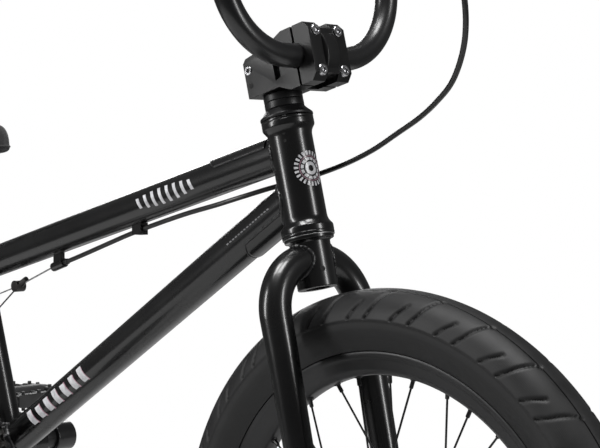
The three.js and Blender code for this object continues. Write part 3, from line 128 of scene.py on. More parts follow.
class Finish:
    """A material under construction: its Principled shader and short ways to add nodes."""

    def __init__(self, name, roughness, metallic=0.0, **constants):
        self.made = bpy.data.materials.new(name)
        self.made.use_nodes = True
        self.tree = self.made.node_tree
        self.shader = self.tree.nodes["Principled BSDF"]
        self.shader.inputs["Roughness"].default_value = roughness
        self.shader.inputs["Metallic"].default_value = metallic
        for socket, value in constants.items():
            self.shader.inputs[socket.replace("_", " ")].default_value = value

    def node(self, kind, settings=None, **values):
        """A node with its own settings and socket values; a linked value is another socket."""
        made = self.tree.nodes.new(kind)
        for key, value in (settings or {}).items():
            setattr(made, key, value)
        for key, value in values.items():
            socket = made.inputs[int(key[1:]) if key[0] == "i" and key[1:].isdigit() else key.replace("_", " ")]
            if isinstance(value, bpy.types.NodeSocket):
                self.tree.links.new(value, socket)
            else:
                socket.default_value = value
        return made

    def feed(self, socket, source):
        self.tree.links.new(source, self.shader.inputs[socket])

    def object_point(self):
        return self.node("ShaderNodeTexCoord").outputs["Object"]

    def group(self, tree, **values):
        made = self.node("ShaderNodeGroup", {"node_tree": tree})
        for key, value in values.items():
            socket = made.inputs[key.replace("_", " ")]
            if isinstance(value, bpy.types.NodeSocket):
                self.tree.links.new(value, socket)
            else:
                socket.default_value = value
        return made


pale_floor = Finish("pale_floor", 0.9)
floor_grain = pale_floor.node("ShaderNodeTexNoise", Vector=pale_floor.object_point(), Scale=3.0)
floor_tone = pale_floor.node("ShaderNodeMapRange", Value=floor_grain.outputs["Fac"], To_Min=0.62, To_Max=0.67)
pale_floor.feed("Base Color", floor_tone.outputs[0])
ground = bpy.data.meshes.new("floor")
floor_turn = np.linspace(0, 2 * np.pi, 96, endpoint=False)
floor_edge = np.stack([1.2 * np.cos(floor_turn), 1.2 * np.sin(floor_turn), np.full(96, -0.001)], -1)
ground.from_pydata(floor_edge.tolist(), [], [list(range(96))])
ground.materials.append(pale_floor.made)
floor = bpy.data.objects.new("floor", ground)
bpy.context.scene.collection.objects.link(floor)


# ------------------------------------------------------------------ tyres
# Moulded rubber casings with a slick crown, one narrow groove each side of it, and slanted
# grooves that run down to the shoulder. Their beads sit inside the rim's flanges.
def node_group(name, inputs, outputs):
    """An empty node group with float, colour or vector sockets, and its two end nodes."""
    tree = bpy.data.node_groups.new(name, "ShaderNodeTree")
    kinds = {"f": "NodeSocketFloat", "c": "NodeSocketColor", "v": "NodeSocketVector"}
    for label, kind, value in inputs:
        socket = tree.interface.new_socket(label, in_out="INPUT", socket_type=kinds[kind])
        if value is not None:
            socket.default_value = value
    for label, kind in outputs:
        tree.interface.new_socket(label, in_out="OUTPUT", socket_type=kinds[kind])
    return tree, tree.nodes.new("NodeGroupInput"), tree.nodes.new("NodeGroupOutput")


def surface_wear():
    """Group: dust and rub marks from two scales of noise, as a colour, a roughness and a fine height."""
    tree, start, end = node_group("surface_wear", [
        ("Point", "v", None), ("Dark", "c", (0.01, 0.01, 0.01, 1)), ("Pale", "c", (0.03, 0.03, 0.03, 1)),
        ("Smooth", "f", 0.3), ("Rough", "f", 0.5), ("Patch Scale", "f", 18.0), ("Grain Scale", "f", 900.0),
        ("Scratches", "f", 0.2),
    ], [("Color", "c"), ("Roughness", "f"), ("Height", "f")])
    new, link = tree.nodes.new, tree.links.new
    patch, grain, mark = new("ShaderNodeTexNoise"), new("ShaderNodeTexNoise"), new("ShaderNodeTexNoise")
    patch.inputs["Detail"].default_value = 6
    grain.inputs["Detail"].default_value = 3
    mark.inputs["Detail"].default_value = 2
    mark.inputs["Distortion"].default_value = 0.6
    stretch = new("ShaderNodeMapping")
    stretch.inputs["Scale"].default_value = (60, 60, 900)
    stretch.inputs["Rotation"].default_value = (0.3, 0.5, 0.2)
    for texture in (patch, grain):
        link(start.outputs["Point"], texture.inputs["Vector"])
    link(start.outputs["Point"], stretch.inputs["Vector"])
    link(stretch.outputs[0], mark.inputs["Vector"])
    mark.inputs["Scale"].default_value = 1.0
    link(start.outputs["Patch Scale"], patch.inputs["Scale"])
    link(start.outputs["Grain Scale"], grain.inputs["Scale"])
    thin = new("ShaderNodeMapRange")
    thin.inputs["From Min"].default_value = 0.66
    thin.inputs["From Max"].default_value = 0.74
    link(mark.outputs["Fac"], thin.inputs["Value"])
    marks = new("ShaderNodeMath")
    marks.operation = "MULTIPLY"
    link(thin.outputs[0], marks.inputs[0])
    link(start.outputs["Scratches"], marks.inputs[1])
    spread = new("ShaderNodeMapRange")
    spread.inputs["From Min"].default_value = 0.35
    spread.inputs["From Max"].default_value = 0.68
    link(patch.outputs["Fac"], spread.inputs["Value"])
    share = new("ShaderNodeMath")
    share.operation = "MULTIPLY_ADD"
    share.inputs[1].default_value = 0.75
    share.use_clamp = True
    link(spread.outputs[0], share.inputs[0])
    link(marks.outputs[0], share.inputs[2])
    tone = new("ShaderNodeMix")
    tone.data_type = "RGBA"
    link(share.outputs[0], tone.inputs["Factor"])
    link(start.outputs["Dark"], tone.inputs["A"])
    link(start.outputs["Pale"], tone.inputs["B"])
    link(tone.outputs["Result"], end.inputs["Color"])
    rough = new("ShaderNodeMapRange")
    link(share.outputs[0], rough.inputs["Value"])
    link(start.outputs["Smooth"], rough.inputs["To Min"])
    link(start.outputs["Rough"], rough.inputs["To Max"])
    link(rough.outputs[0], end.inputs["Roughness"])
    height = new("ShaderNodeMath")
    height.operation = "SUBTRACT"
    link(grain.outputs["Fac"], height.inputs[0])
    link(marks.outputs[0], height.inputs[1])
    link(height.outputs[0], end.inputs["Height"])
    return tree


wear = surface_wear()


def worn(name, dark, pale, smooth, rough, patch=18.0, grain=900.0, bump=0.05, scratches=0.15,
         metallic=0.0, **constants):
    """A finish whose colour, roughness and fine relief all come from the shared wear group."""
    finish = Finish(name, smooth, metallic, **constants)
    marks = finish.group(wear, Point=finish.object_point(), Dark=(*dark, 1), Pale=(*pale, 1), Smooth=smooth,
                         Rough=rough, Patch_Scale=patch, Grain_Scale=grain, Scratches=scratches)
    finish.feed("Base Color", marks.outputs["Color"])
    finish.feed("Roughness", marks.outputs["Roughness"])
    relief = finish.node("ShaderNodeBump", Strength=bump, Distance=0.0004, Height=marks.outputs["Height"])
    finish.feed("Normal", relief.outputs["Normal"])
    return finish


class Skin:
    """One piece's mesh, put together from grids of points; every grid gets its own faces."""

    def __init__(self, name):
        self.name = name
        self.points = []
        self.faces = []
        self.count = 0

    def grid(self, points, around=True, along=False, ends=True, flip=False):
        """Rows of points joined into quads. around closes each row, along joins the last row
        to the first, and ends closes an open tube with a fan at each end."""
        rows, cols = points.shape[:2]
        r = np.arange(rows if along else rows - 1)[:, None]
        c = np.arange(cols if around else cols - 1)[None, :]
        r2, c2 = (r + 1) % rows, (c + 1) % cols
        quads = np.stack([r * cols + c, r * cols + c2, r2 * cols + c2, r2 * cols + c], -1).reshape(-1, 4)
        made = [quads + self.count]
        flat = [points.reshape(-1, 3)]
        total = rows * cols
        if ends and around and not along:
            for row, turn in ((0, 1), (rows - 1, -1)):
                ring = row * cols + np.arange(cols)
                nxt = np.roll(ring, -turn)
                hub = np.full(cols, total)
                flat.append(points[row].mean(0)[None])
                first, second = (nxt, ring) if turn > 0 else (ring, np.roll(ring, -1))
                made.append(np.stack([hub, first, second], -1) + self.count)
                total += 1
        if flip:
            made = [m[:, ::-1] for m in made]
        self.points.append(np.concatenate(flat))
        self.faces.extend(made)
        self.count += total
        return self

    def slab(self, front, behind, along=False, flip=False):
        """Two matching sheets joined all round their edges into one closed shell."""
        self.grid(np.concatenate([front, behind[:, ::-1]], 1), along=along, flip=flip)

    def build(self, material, body, *nodes, slot=None, sharp=32.0, bevel=None, subdivide=0):
        """Writes the mesh, gives it its material, and makes it ride on its body if it has one."""
        mesh = bpy.data.meshes.new(self.name)
        points = np.concatenate(self.points)
        mesh.from_pydata(points.tolist(), [], [f for part in self.faces for f in part.tolist()])
        mesh.polygons.foreach_set("use_smooth", np.ones(len(mesh.polygons), bool))
        mesh.set_sharp_from_angle(angle=math.radians(sharp))
        mesh.update()
        piece = bpy.data.objects.new(self.name, mesh)
        bpy.context.scene.collection.objects.link(piece)
        mesh.materials.append(material.made)
        if bevel:
            rounding = piece.modifiers.new("rounding", "BEVEL")
            rounding.width, rounding.segments = bevel, 2
            rounding.limit_method, rounding.angle_limit = "ANGLE", math.radians(sharp)
            rounding.harden_normals = True
        if subdivide:
            smooth = piece.modifiers.new("smooth", "SUBSURF")
            smooth.levels = smooth.render_levels = subdivide
        if body:
            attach(piece, body)
        if nodes:
            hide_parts(*nodes)
        return piece


def unit(vector):
    vector = np.asarray(vector, float)
    return vector / np.linalg.norm(vector, axis=-1, keepdims=True)


def frames_along(path, closed=False):
    """Two unit vectors square to the path at each point, turned as little as possible."""
    ahead = np.roll(path, -1, 0) - np.roll(path, 1, 0) if closed else np.gradient(path, axis=0)
    way = unit(ahead)
    start = np.cross(way[0], [0.0, 0.0, 1.0])
    if np.linalg.norm(start) < 0.2:
        start = np.cross(way[0], [0.0, 1.0, 0.0])
    first = [unit(start)]
    for k in range(1, len(path)):
        first.append(unit(first[-1] - np.dot(first[-1], way[k]) * way[k]))
    first = np.array(first)
    if closed:
        end = first[-1] - np.dot(first[-1], way[0]) * way[0]
        turn = math.atan2(np.dot(np.cross(end, first[0]), way[0]), np.dot(end, first[0]))
        share = (np.arange(len(path)) / len(path) * turn)[:, None]
        first = first * np.cos(share) + np.cross(way, first) * np.sin(share)
    return first, np.cross(way, first)


def tube(path, radius, sides=40, closed=False):
    """A circle carried along a path: point = path + radius * (first * cos + second * sin)."""
    path = np.asarray(path, float)
    first, second = frames_along(path, closed)
    turn = np.linspace(0, 2 * np.pi, sides, endpoint=False)
    radius = np.broadcast_to(np.asarray(radius, float), (len(path),)) if np.ndim(radius) < 2 else radius
    ring = radius[:, None] if radius.ndim == 1 else radius
    return (path[:, None] + ring[..., None] * first[:, None] * np.cos(turn)[None, :, None]
            + ring[..., None] * second[:, None] * np.sin(turn)[None, :, None])


def between(start, end, steps=2):
    """Evenly spaced points on a straight line."""
    t = np.linspace(0, 1, steps)[:, None]
    return np.asarray(start, float) * (1 - t) + np.asarray(end, float) * t


def lathe(profile, centre, axis, sides=96, closed=True):
    """A profile of [radius, height] pairs turned about an axis through a centre."""
    profile = np.asarray(profile, float)
    axis = unit(axis)
    first = unit(np.cross(axis, [0.31, 0.93, 0.17]))
    second = np.cross(axis, first)
    turn = np.linspace(0, 2 * np.pi, sides, endpoint=False)
    ring = first[None] * np.cos(turn)[:, None] + second[None] * np.sin(turn)[:, None]
    return (np.asarray(centre, float) + profile[:, None, 1:2] * axis
            + profile[:, None, 0:1] * ring[None])


def eased(profile, radius, steps=4):
    """Rounds each inner corner of a profile with a quadratic curve of about that radius."""
    profile = np.asarray(profile, float)
    made = [profile[:1]]
    for before, corner, after in zip(profile[:-2], profile[1:-1], profile[2:]):
        a, b = before - corner, after - corner
        cut_a = min(radius, np.linalg.norm(a) * 0.45)
        cut_b = min(radius, np.linalg.norm(b) * 0.45)
        p, q = corner + unit(a) * cut_a, corner + unit(b) * cut_b
        t = np.linspace(0, 1, steps + 1)[:, None]
        made.append((1 - t) ** 2 * p + 2 * t * (1 - t) * corner + t ** 2 * q)
    made.append(profile[-1:])
    return np.concatenate(made)


def even(path, steps):
    """The same path with evenly spaced points."""
    path = np.asarray(path, float)
    reach = np.concatenate([[0], np.cumsum(np.linalg.norm(np.diff(path, axis=0), axis=1))])
    at = np.linspace(0, reach[-1], steps)
    return np.stack([np.interp(at, reach, path[:, k]) for k in range(path.shape[1])], -1)


def copied(node, material, body, name=None, bevel=0.0006, sharp=28.0, segments=2):
    """A CAD node's own shape as a merged mesh with its edges rounded, in place of the node."""
    name = name or node + "_finished"
    shape = bmesh.new()
    shape.from_mesh(frame["nodes"][node].data)
    bmesh.ops.remove_doubles(shape, verts=shape.verts, dist=1e-6)
    bmesh.ops.dissolve_limit(shape, angle_limit=math.radians(0.8), verts=shape.verts, edges=shape.edges)
    mesh = bpy.data.meshes.new(name)
    shape.to_mesh(mesh)
    shape.free()
    mesh.polygons.foreach_set("use_smooth", np.ones(len(mesh.polygons), bool))
    mesh.set_sharp_from_angle(angle=math.radians(sharp))
    mesh.materials.clear()
    mesh.materials.append(material.made)
    piece = bpy.data.objects.new(name, mesh)
    bpy.context.scene.collection.objects.link(piece)
    if bevel:
        rounding = piece.modifiers.new("rounding", "BEVEL")
        rounding.width, rounding.segments = bevel, segments
        rounding.limit_method, rounding.angle_limit = "ANGLE", math.radians(sharp)
        rounding.use_clamp_overlap = True
        rounding.harden_normals = True
    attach(piece, body)
    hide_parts(node)
    return piece


front_axle = np.array(joints["front_wheel_spin"]["pos_m"])
rear_axle = np.array(joints["rear_wheel_spin"]["pos_m"])
tyre_radius = front_axle[2]
section = 0.0295
tread_repeats = 30


def tread_depth(turn, lean):
    """How far the rubber is cut in, from the turn round the wheel and the lean from the crown, in
    degrees: the sum of narrow bell-shaped dips along each groove's own line."""
    side = np.abs(lean)
    step = 360 / tread_repeats
    mirrored = np.where(lean > 0, turn + 0.3, turn)

    def dip(distance, width):
        return np.exp(-((distance / width) ** 2) ** 2)

    def around(value):
        return (value + step / 2) % step - step / 2

    slope = np.interp(side, [17, 22, 40, 62, 84], [1.5, 0.25, -0.7, -1.9, -3.7])
    long_cut = dip(around(mirrored - slope), 0.34) * (side > 17) * (side < 84)
    short_slope = np.interp(side, [45, 84], [-4.8, -8.5])
    short_cut = dip(around(mirrored - short_slope), 0.36) * (side > 45) * (side < 83)
    ring_cut = dip(side - 17.4, 0.95)
    notch = dip(around(mirrored - 0.9), 0.3) * (side < 17) * (side > 12)
    shoulder = np.interp(side, [0, 84, 86.5, 124], [0, 0, 0.0009, 0.0009])
    mould_line = -0.0003 * dip(side - 93, 0.7) - 0.0002 * dip(side - 101, 1.4)
    pattern = np.maximum.reduce([0.0017 * long_cut, 0.0017 * short_cut, 0.0013 * ring_cut, 0.0011 * notch])
    return pattern + shoulder + mould_line


def tyre_skin(name, centre):
    """A ring of C-shaped sections: the outer arc is cut by the tread, the inner arc is smooth, and
    each sidewall runs on over the rim's flange to a bead that sits inside it."""
    turn = np.linspace(0, 360, 1080, endpoint=False)
    lean = np.concatenate([np.linspace(-122, -86, 14), np.linspace(-84, -20, 22), np.linspace(-18.6, -16.2, 5),
                           np.linspace(-12, 12, 5), np.linspace(16.2, 18.6, 5), np.linspace(20, 84, 22),
                           np.linspace(86, 122, 14)])
    t, s = np.meshgrid(turn, lean, indexing="ij")
    outer = section - tread_depth(t, s)
    inside = np.linspace(119, -119, 5)
    lean_all = np.radians(np.concatenate([s, np.broadcast_to(inside, (len(turn), 5))], 1))
    reach = np.concatenate([outer, np.full((len(turn), 5), section - 0.0045)], 1)
    ring = np.radians(turn)[:, None]
    radius = tyre_radius - section + reach * np.cos(lean_all)
    across = reach * np.sin(lean_all)
    bead = np.array([[0.0214, 0.2147], [0.0180, 0.2104], [0.0143, 0.2103], [0.0128, 0.2064], [0.0090, 0.2064],
                     [0.0106, 0.2125]])
    left, right = (np.broadcast_to(b, (len(turn), 6, 2)) for b in (bead, bead[::-1] * [-1, 1]))
    arc = s.shape[1]
    across = np.concatenate([across[:, :arc], left[..., 0], across[:, arc:], right[..., 0]], 1)
    radius = np.concatenate([radius[:, :arc], left[..., 1], radius[:, arc:], right[..., 1]], 1)
    # cut holds how deep the tread is cut here, 0 to 1; the rubber uses it as the mask for painted shade in the grooves.
    cut = np.zeros(across.shape)
    cut[:, :arc] = np.clip(tread_depth(t, s) / 0.0013, 0, 1) * (np.abs(s) < 84)
    points = np.stack([radius * np.sin(ring), across, radius * np.cos(ring)], -1) + centre
    skin = Skin(name)
    skin.grid(points, along=True, flip=True)
    return skin, cut.ravel()


rubber = Finish("tyre_rubber", 0.62, Specular_IOR_Level=0.34)
rubber_point = rubber.object_point()
rubber_marks = rubber.group(wear, Point=rubber_point, Dark=(0.0075, 0.0075, 0.0078, 1), Pale=(0.016, 0.016, 0.0163, 1),
                            Smooth=0.5, Rough=0.64, Patch_Scale=26.0, Grain_Scale=1500.0, Scratches=0.2)
# Painted shade: inside the tread grooves the rubber's base colour is mixed to near black by the cut mask.
groove = rubber.node("ShaderNodeAttribute", {"attribute_name": "cut"})
shaded = rubber.node("ShaderNodeMix", {"data_type": "RGBA"}, i0=groove.outputs["Fac"], i6=rubber_marks.outputs["Color"],
                     i7=(0.0012, 0.0012, 0.0012, 1))
rubber.feed("Base Color", shaded.outputs[2])
rubber.feed("Roughness", rubber_marks.outputs["Roughness"])
rubber_split = rubber.node("ShaderNodeSeparateXYZ", i0=rubber_point)
rubber_rib = rubber.node("ShaderNodeMath", {"operation": "SINE"}, i0=rubber.node(
    "ShaderNodeMath", {"operation": "MULTIPLY"}, i0=rubber_split.outputs["Y"], i1=9000.0).outputs[0])
rubber_height = rubber.node("ShaderNodeMath", {"operation": "MULTIPLY_ADD"}, i0=rubber_rib.outputs[0], i1=0.35,
                            i2=rubber_marks.outputs["Height"])
rubber_relief = rubber.node("ShaderNodeBump", Strength=0.1, Distance=0.0005, Height=rubber_height.outputs[0])
rubber.feed("Normal", rubber_relief.outputs["Normal"])

for wheel, centre in (("front", front_axle), ("rear", rear_axle)):
    skin, cut = tyre_skin(f"{wheel}_tyre_tread", centre)
    tread = skin.build(rubber, f"{wheel}_wheel", f"{wheel}_tyre", slot="tyre", sharp=50)
    # The cut attribute carries the mask of painted groove shade to the rubber.
    tread.data.attributes.new("cut", "FLOAT", "POINT").data.foreach_set("value", cut.astype(np.float32))


# ------------------------------------------------------------------ rims, spokes and hubs
# Box-section alloy rims, anodised satin black, with a valve through each. Steel spokes cross
# three times between the hub flanges and brass nipples set into the rim.
rim_outer = 0.2098
rim_floor = rim_outer - 0.0228
anodised = worn("satin_black_alloy", (0.010, 0.010, 0.0105), (0.024, 0.024, 0.025), 0.34, 0.5, patch=14,
                grain=1600, bump=0.05, metallic=0.35, Specular_IOR_Level=0.5)
spoke_black = worn("black_spoke_steel", (0.008, 0.008, 0.008), (0.02, 0.02, 0.02), 0.28, 0.45, patch=30,
                   grain=1200, bump=0.03, metallic=0.4)
wheel_axis = np.array([0.0, 1.0, 0.0])


def rim_profile():
    """Outside of the rim from one flange to the other, then back inside the well."""
    out = eased([[rim_outer, 0.0150], [rim_outer + 0.0004, 0.0178], [rim_outer - 0.0045, 0.0178],
                 [rim_outer - 0.007, 0.0162], [rim_floor + 0.006, 0.0135], [rim_floor + 0.0008, 0.0085],
                 [rim_floor, 0.0], [rim_floor + 0.0008, -0.0085], [rim_floor + 0.006, -0.0135],
                 [rim_outer - 0.007, -0.0162], [rim_outer - 0.0045, -0.0178], [rim_outer + 0.0004, -0.0178],
                 [rim_outer, -0.0150]], 0.0022)
    back = eased([[rim_outer, -0.0150], [rim_floor + 0.008, -0.0125], [rim_floor + 0.004, -0.006],
                  [rim_floor + 0.004, 0.006], [rim_floor + 0.008, 0.0125], [rim_outer, 0.0150]], 0.002)
    return np.concatenate([out, back[1:-1]])


def wheel_point(centre, radius, turn, across):
    """A point at a radius and a turn from straight up, set off sideways."""
    turn = np.asarray(turn)
    across = np.broadcast_to(across, turn.shape)
    return np.stack([radius * np.sin(turn), across, radius * np.cos(turn)], -1) + centre


def repeated(grid, places, ways, twist=None):
    """The same small grid set at many places with its own Z along each way."""
    ways = unit(ways)
    side = np.cross(ways, np.where(np.abs(ways[:, 1:2]) < 0.9, [[0.0, 1.0, 0.0]], [[1.0, 0.0, 0.0]]))
    side = unit(side)
    up = np.cross(ways, side)
    return (places[:, None, None] + grid[None, ..., 0:1] * side[:, None, None]
            + grid[None, ..., 1:2] * up[:, None, None] + grid[None, ..., 2:3] * ways[:, None, None])


def flanged_hub(name, centre, flange_radius, right, left, thick, body, end_low, end_high, bore, end_radius):
    """A hub barrel that swells smoothly to a flange at each side, with a bearing cap at each end."""
    t = thick / 2
    profile = eased([[bore, end_low], [end_radius, end_low], [end_radius, right - t - 0.001],
                     [flange_radius, right - t], [flange_radius, right + t], [body + 0.006, right + t + 0.002],
                     [body, right + 0.013], [body - 0.002, (right + left) / 2], [body, left - 0.013],
                     [body + 0.006, left - t - 0.002], [flange_radius, left - t], [flange_radius, left + t],
                     [end_radius, left + t + 0.001], [end_radius, end_high], [bore, end_high]], 0.0022)
    skin = Skin(name)
    skin.grid(lathe(profile, centre, wheel_axis, 96), along=True)
    return skin


hub_sizes = {
    "front": dict(flange=0.027, right=-0.032, left=0.032, thick=0.003, body=0.0145, low=-0.045, high=0.045,
                  bore=0.0054, end=0.0115),
    "rear": dict(flange=0.031, right=-0.026, left=0.033, thick=0.0035, body=0.0175, low=-0.042, high=0.050,
                 bore=0.0074, end=0.0145),
}
first_spoke = math.radians(-23.4)
spoke_count = 36
for wheel, centre in (("front", front_axle), ("rear", rear_axle)):
    body = f"{wheel}_wheel"
    h = hub_sizes[wheel]
    skin = Skin(f"{wheel}_rim_hoop")
    skin.grid(lathe(rim_profile(), centre, wheel_axis, 300), along=True)
    skin.build(anodised, body, f"{wheel}_rim", slot="satin_black", sharp=40)
    flanged_hub(f"{wheel}_hub_shell", centre, h["flange"], h["right"], h["left"], h["thick"], h["body"],
                h["low"], h["high"], h["bore"], h["end"]).build(anodised, body, f"{wheel}_hub", slot="satin_black")
    index = np.arange(spoke_count)
    turn = first_spoke + 2 * np.pi * index / spoke_count
    left = index % 2 == 0
    lead = np.where((index // 2) % 2 == 0, 1, -1)
    hub_turn = turn + lead * math.radians(60)
    face = lead * (h["thick"] / 2 + 0.0012)
    across = np.where(left, h["left"] + face, h["right"] - face)
    foot = wheel_point(centre, h["flange"] - 0.0032, hub_turn, across)
    offset = np.where(left, 0.0028, -0.0028)
    top = wheel_point(centre, rim_floor + 0.003, turn, offset)
    way = unit(top - foot)
    reach = np.linalg.norm(top - foot, axis=1)
    spokes = Skin(f"{wheel}_spoke_set")
    for k in range(spoke_count):
        hook = foot[k] - np.array([0, 1, 0]) * lead[k] * (1 if left[k] else -1) * 0.0036
        path = np.concatenate([hook[None], (foot[k] + way[k] * 0.0004)[None], between(
            foot[k] + way[k] * 0.002, foot[k] + way[k] * (reach[k] - 0.004), 4)])
        spokes.grid(tube(path, [0.0011, 0.0011, 0.001, 0.00098, 0.00098, 0.001], 8))
    spokes.build(spoke_black, body, f"{wheel}_spokes", slot="black_steel")
    turned = eased([[0.0, 0.0], [0.0012, 0.0], [0.00195, 0.0007], [0.00195, 0.0072], [0.0024, 0.0078],
                    [0.0028, 0.0115], [0.0, 0.0125]], 0.0006, 2)
    nipple_grid = lathe(turned[1:-1], [0, 0, 0], [0, 0, 1], 10)
    places = foot + way * (reach - 0.0112)[:, None]
    nipples = Skin(f"{wheel}_nipples")
    for grid in repeated(nipple_grid, places, way):
        nipples.grid(grid)
    nipples.build(spoke_black, body, slot="black_steel")
    seat = Skin(f"{wheel}_nipple_seats")
    ring = lathe([[0.0031, -0.0004], [0.0036, 0.0004], [0.0031, 0.0012], [0.0026, 0.0004]], [0, 0, 0], [0, 0, 1], 12)
    radial = wheel_point(centre * 0, 1.0, turn, 0.0)
    for grid in repeated(ring, wheel_point(centre, rim_floor - 0.0002, turn, offset), radial):
        seat.grid(grid, along=True)
    seat.build(anodised, body, slot="satin_black")
    valve_turn = first_spoke + math.radians(185)
    valve_way = wheel_point(centre * 0, 1.0, np.array([valve_turn]), 0.0)[0]
    stem = Skin(f"{wheel}_valve_stem")
    stem.grid(lathe(eased([[0.0041, 0.004], [0.0041, -0.019], [0.0031, -0.0205], [0.0031, -0.024], [0.0028, -0.026]],
                          0.0006)[::-1] * [1, 1], centre + valve_way * rim_floor, valve_way, 24))
    stem.build(rubber, body, slot="tyre")
    tip = Skin(f"{wheel}_valve_cap")
    tip.grid(lathe(eased([[0.0026, -0.0235], [0.0042, -0.0235], [0.0042, -0.0325], [0.0034, -0.034], [0.001, -0.034]],
                         0.0005)[::-1], centre + valve_way * rim_floor, valve_way, 20))
    tip.build(anodised, body, slot="satin_black")

axle_steel = worn("black_oxide_steel", (0.025, 0.024, 0.023), (0.07, 0.068, 0.066), 0.32, 0.55, patch=60,
                  grain=1400, bump=0.08, metallic=0.9)


def axle_set(name, centre, radius, width, nut, body, node):
    """A threaded axle through both plates, with a washer and a chamfered hexagon nut at each side."""
    face = width / 2 + 0.006 + 0.0003
    end = face + 0.015
    skin = Skin(name)
    pitch = 0.00125
    reach = np.arange(-end, end, pitch / 4)
    thread = np.where(np.abs(reach) > width / 2 - 0.004, 0.00022 * np.sin(reach / pitch * 2 * np.pi), 0)
    profile = np.stack([radius - 0.0002 + thread, reach], -1)
    profile[0, 0] = profile[-1, 0] = radius - 0.0012
    skin.grid(lathe(profile, centre, wheel_axis, 20))
    for side in (-1, 1):
        washer = eased([[radius, 0], [nut + 0.003, 0], [nut + 0.003, 0.0018], [radius, 0.0018]], 0.0004)
        skin.grid(lathe(washer, centre + wheel_axis * side * face, wheel_axis * side, 40))
        base = centre + wheel_axis * side * (face + 0.0018)
        levels = np.array([0.0, 0.0012, 0.0082, 0.0094])
        scale = np.array([0.9, 1.0, 1.0, 0.9])
        turn = np.linspace(0, 2 * np.pi, 36, endpoint=False)
        flat = np.cos(np.pi / 6) / np.cos((turn + np.pi / 6) % (np.pi / 3) - np.pi / 6)
        hexagon = np.minimum(flat[None] * nut, nut * scale[:, None])
        grid = np.stack([hexagon * np.cos(turn), np.broadcast_to(levels[:, None] * side, hexagon.shape),
                         hexagon * np.sin(turn)], -1) + base
        skin.grid(grid, flip=side > 0)
        skin.grid(lathe(eased([[radius + 0.0005, 0], [radius + 0.003, 0], [radius + 0.003, 0.002],
                               [radius + 0.0005, 0.002]], 0.0003),
                        centre + wheel_axis * side * (width / 2 - 0.0023), wheel_axis * side, 32))
    skin.build(axle_steel, body, node, slot="dark_steel", sharp=25)


axle_set("front_axle_and_nuts", front_axle, 0.005, 0.100, 0.0085, "steering", "front_axle")
axle_set("rear_axle_and_nuts", rear_axle, 0.007, 0.110, 0.0110, "frame", "rear_axle")


# ------------------------------------------------------------------ frame tubes
# Butted steel tubes, mitred and TIG-welded to one another, then painted gloss black. The
# head tube carries a flared cup for a bearing at each end.
axis_up = np.array(joints["steer"]["axis"])
axis_front = np.array([axis_up[2], 0.0, -axis_up[0]])
steering_foot = front_axle - 0.0287 * axis_front
bracket = np.array(joints["crank_spin"]["pos_m"])
seat_way = np.array(joints["seat_height"]["axis"])
sideways = np.array([0.0, 1.0, 0.0])

frame_paint = worn("gloss_black_paint", (0.0026, 0.0026, 0.0028), (0.0058, 0.0058, 0.006), 0.24, 0.31, patch=11,
                   grain=520, bump=0.02, scratches=0.08, Coat_Weight=0.3, Coat_Roughness=0.1,
                   Specular_IOR_Level=0.42)
weld_paint = worn("painted_weld", (0.007, 0.007, 0.0075), (0.02, 0.02, 0.021), 0.26, 0.42, patch=120,
                  grain=900, bump=0.12, scratches=0.1, Specular_IOR_Level=0.55)


def steered(forward, across, height):
    """A point in the steering assembly: forward of the steering axis, to the left, and up it."""
    forward, across, height = np.broadcast_arrays(np.asarray(forward, float), across, height)
    return (steering_foot + forward[..., None] * axis_front + across[..., None] * sideways
            + height[..., None] * axis_up)


def on_seat_tube(length):
    return bracket + length * seat_way


head_low, head_high, head_radius = 0.3238, 0.4368, 0.02075
top_front, top_rear, top_radius = steered(0, 0, head_high - 0.0294), on_seat_tube(0.209), 0.01745
down_front, down_rear, down_radius = steered(0, 0, head_low + 0.0407), bracket, 0.01905
seat_radius = 0.0143

cup = [[0.0212, 0.0003], [0.0246, 0.0003], [0.0248, 0.0009], [0.0248, 0.0024], [0.0244, 0.0028], [0.0248, 0.0032],
       [0.0248, 0.0085], [0.0236, 0.0100], [0.0215, 0.0134], [head_radius, 0.0168]]
head_profile = eased([[r, head_low + h] for r, h in cup] + [[r, head_high - h] for r, h in cup[::-1]], 0.0012, 3)
head_profile = np.concatenate([head_profile, [[0.0185, head_high - 0.009], [0.0185, head_low + 0.009]]])
head = Skin("head_tube_with_cups")
head.grid(lathe(head_profile, steering_foot, axis_up, 128), along=True, flip=False)
head.build(frame_paint, "frame", "head_tube", slot="frame_paint", sharp=38)


def straight_tube(name, start, end, radius, node, material, body="frame", slot="frame_paint", sides=96):
    skin = Skin(name)
    skin.grid(tube(between(start, end, 24), radius, sides))
    return skin.build(material, body, node, slot=slot)


straight_tube("top_tube_paint", top_front + 0.012 * unit(top_rear - top_front), top_rear, top_radius, "top_tube",
              frame_paint)
straight_tube("down_tube_paint", down_front + 0.012 * unit(down_rear - down_front),
              down_rear + 0.012 * unit(down_front - down_rear), down_radius, "down_tube", frame_paint)

seat_pipe = Skin("seat_tube_paint")
seat_wall = eased([[seat_radius, 0.012], [seat_radius, 0.2500], [0.0131, 0.2500], [0.0131, 0.2]], 0.0004)
seat_pipe.grid(lathe(np.concatenate([seat_wall, [[0.0131, 0.012]]]), bracket, seat_way, 80), along=True)
seat_pipe.build(frame_paint, "frame", "seat_tube", slot="frame_paint")

shell = Skin("bracket_shell_paint")
shell.grid(lathe(eased([[0.0209, -0.034], [0.0229, -0.034], [0.0235, -0.0334], [0.0235, 0.0334], [0.0229, 0.034],
                        [0.0209, 0.034], [0.0209, -0.034]], 0.0004), bracket, wheel_axis, 96), along=True)
shell.build(frame_paint, "frame", "bottom_bracket_shell", slot="frame_paint")


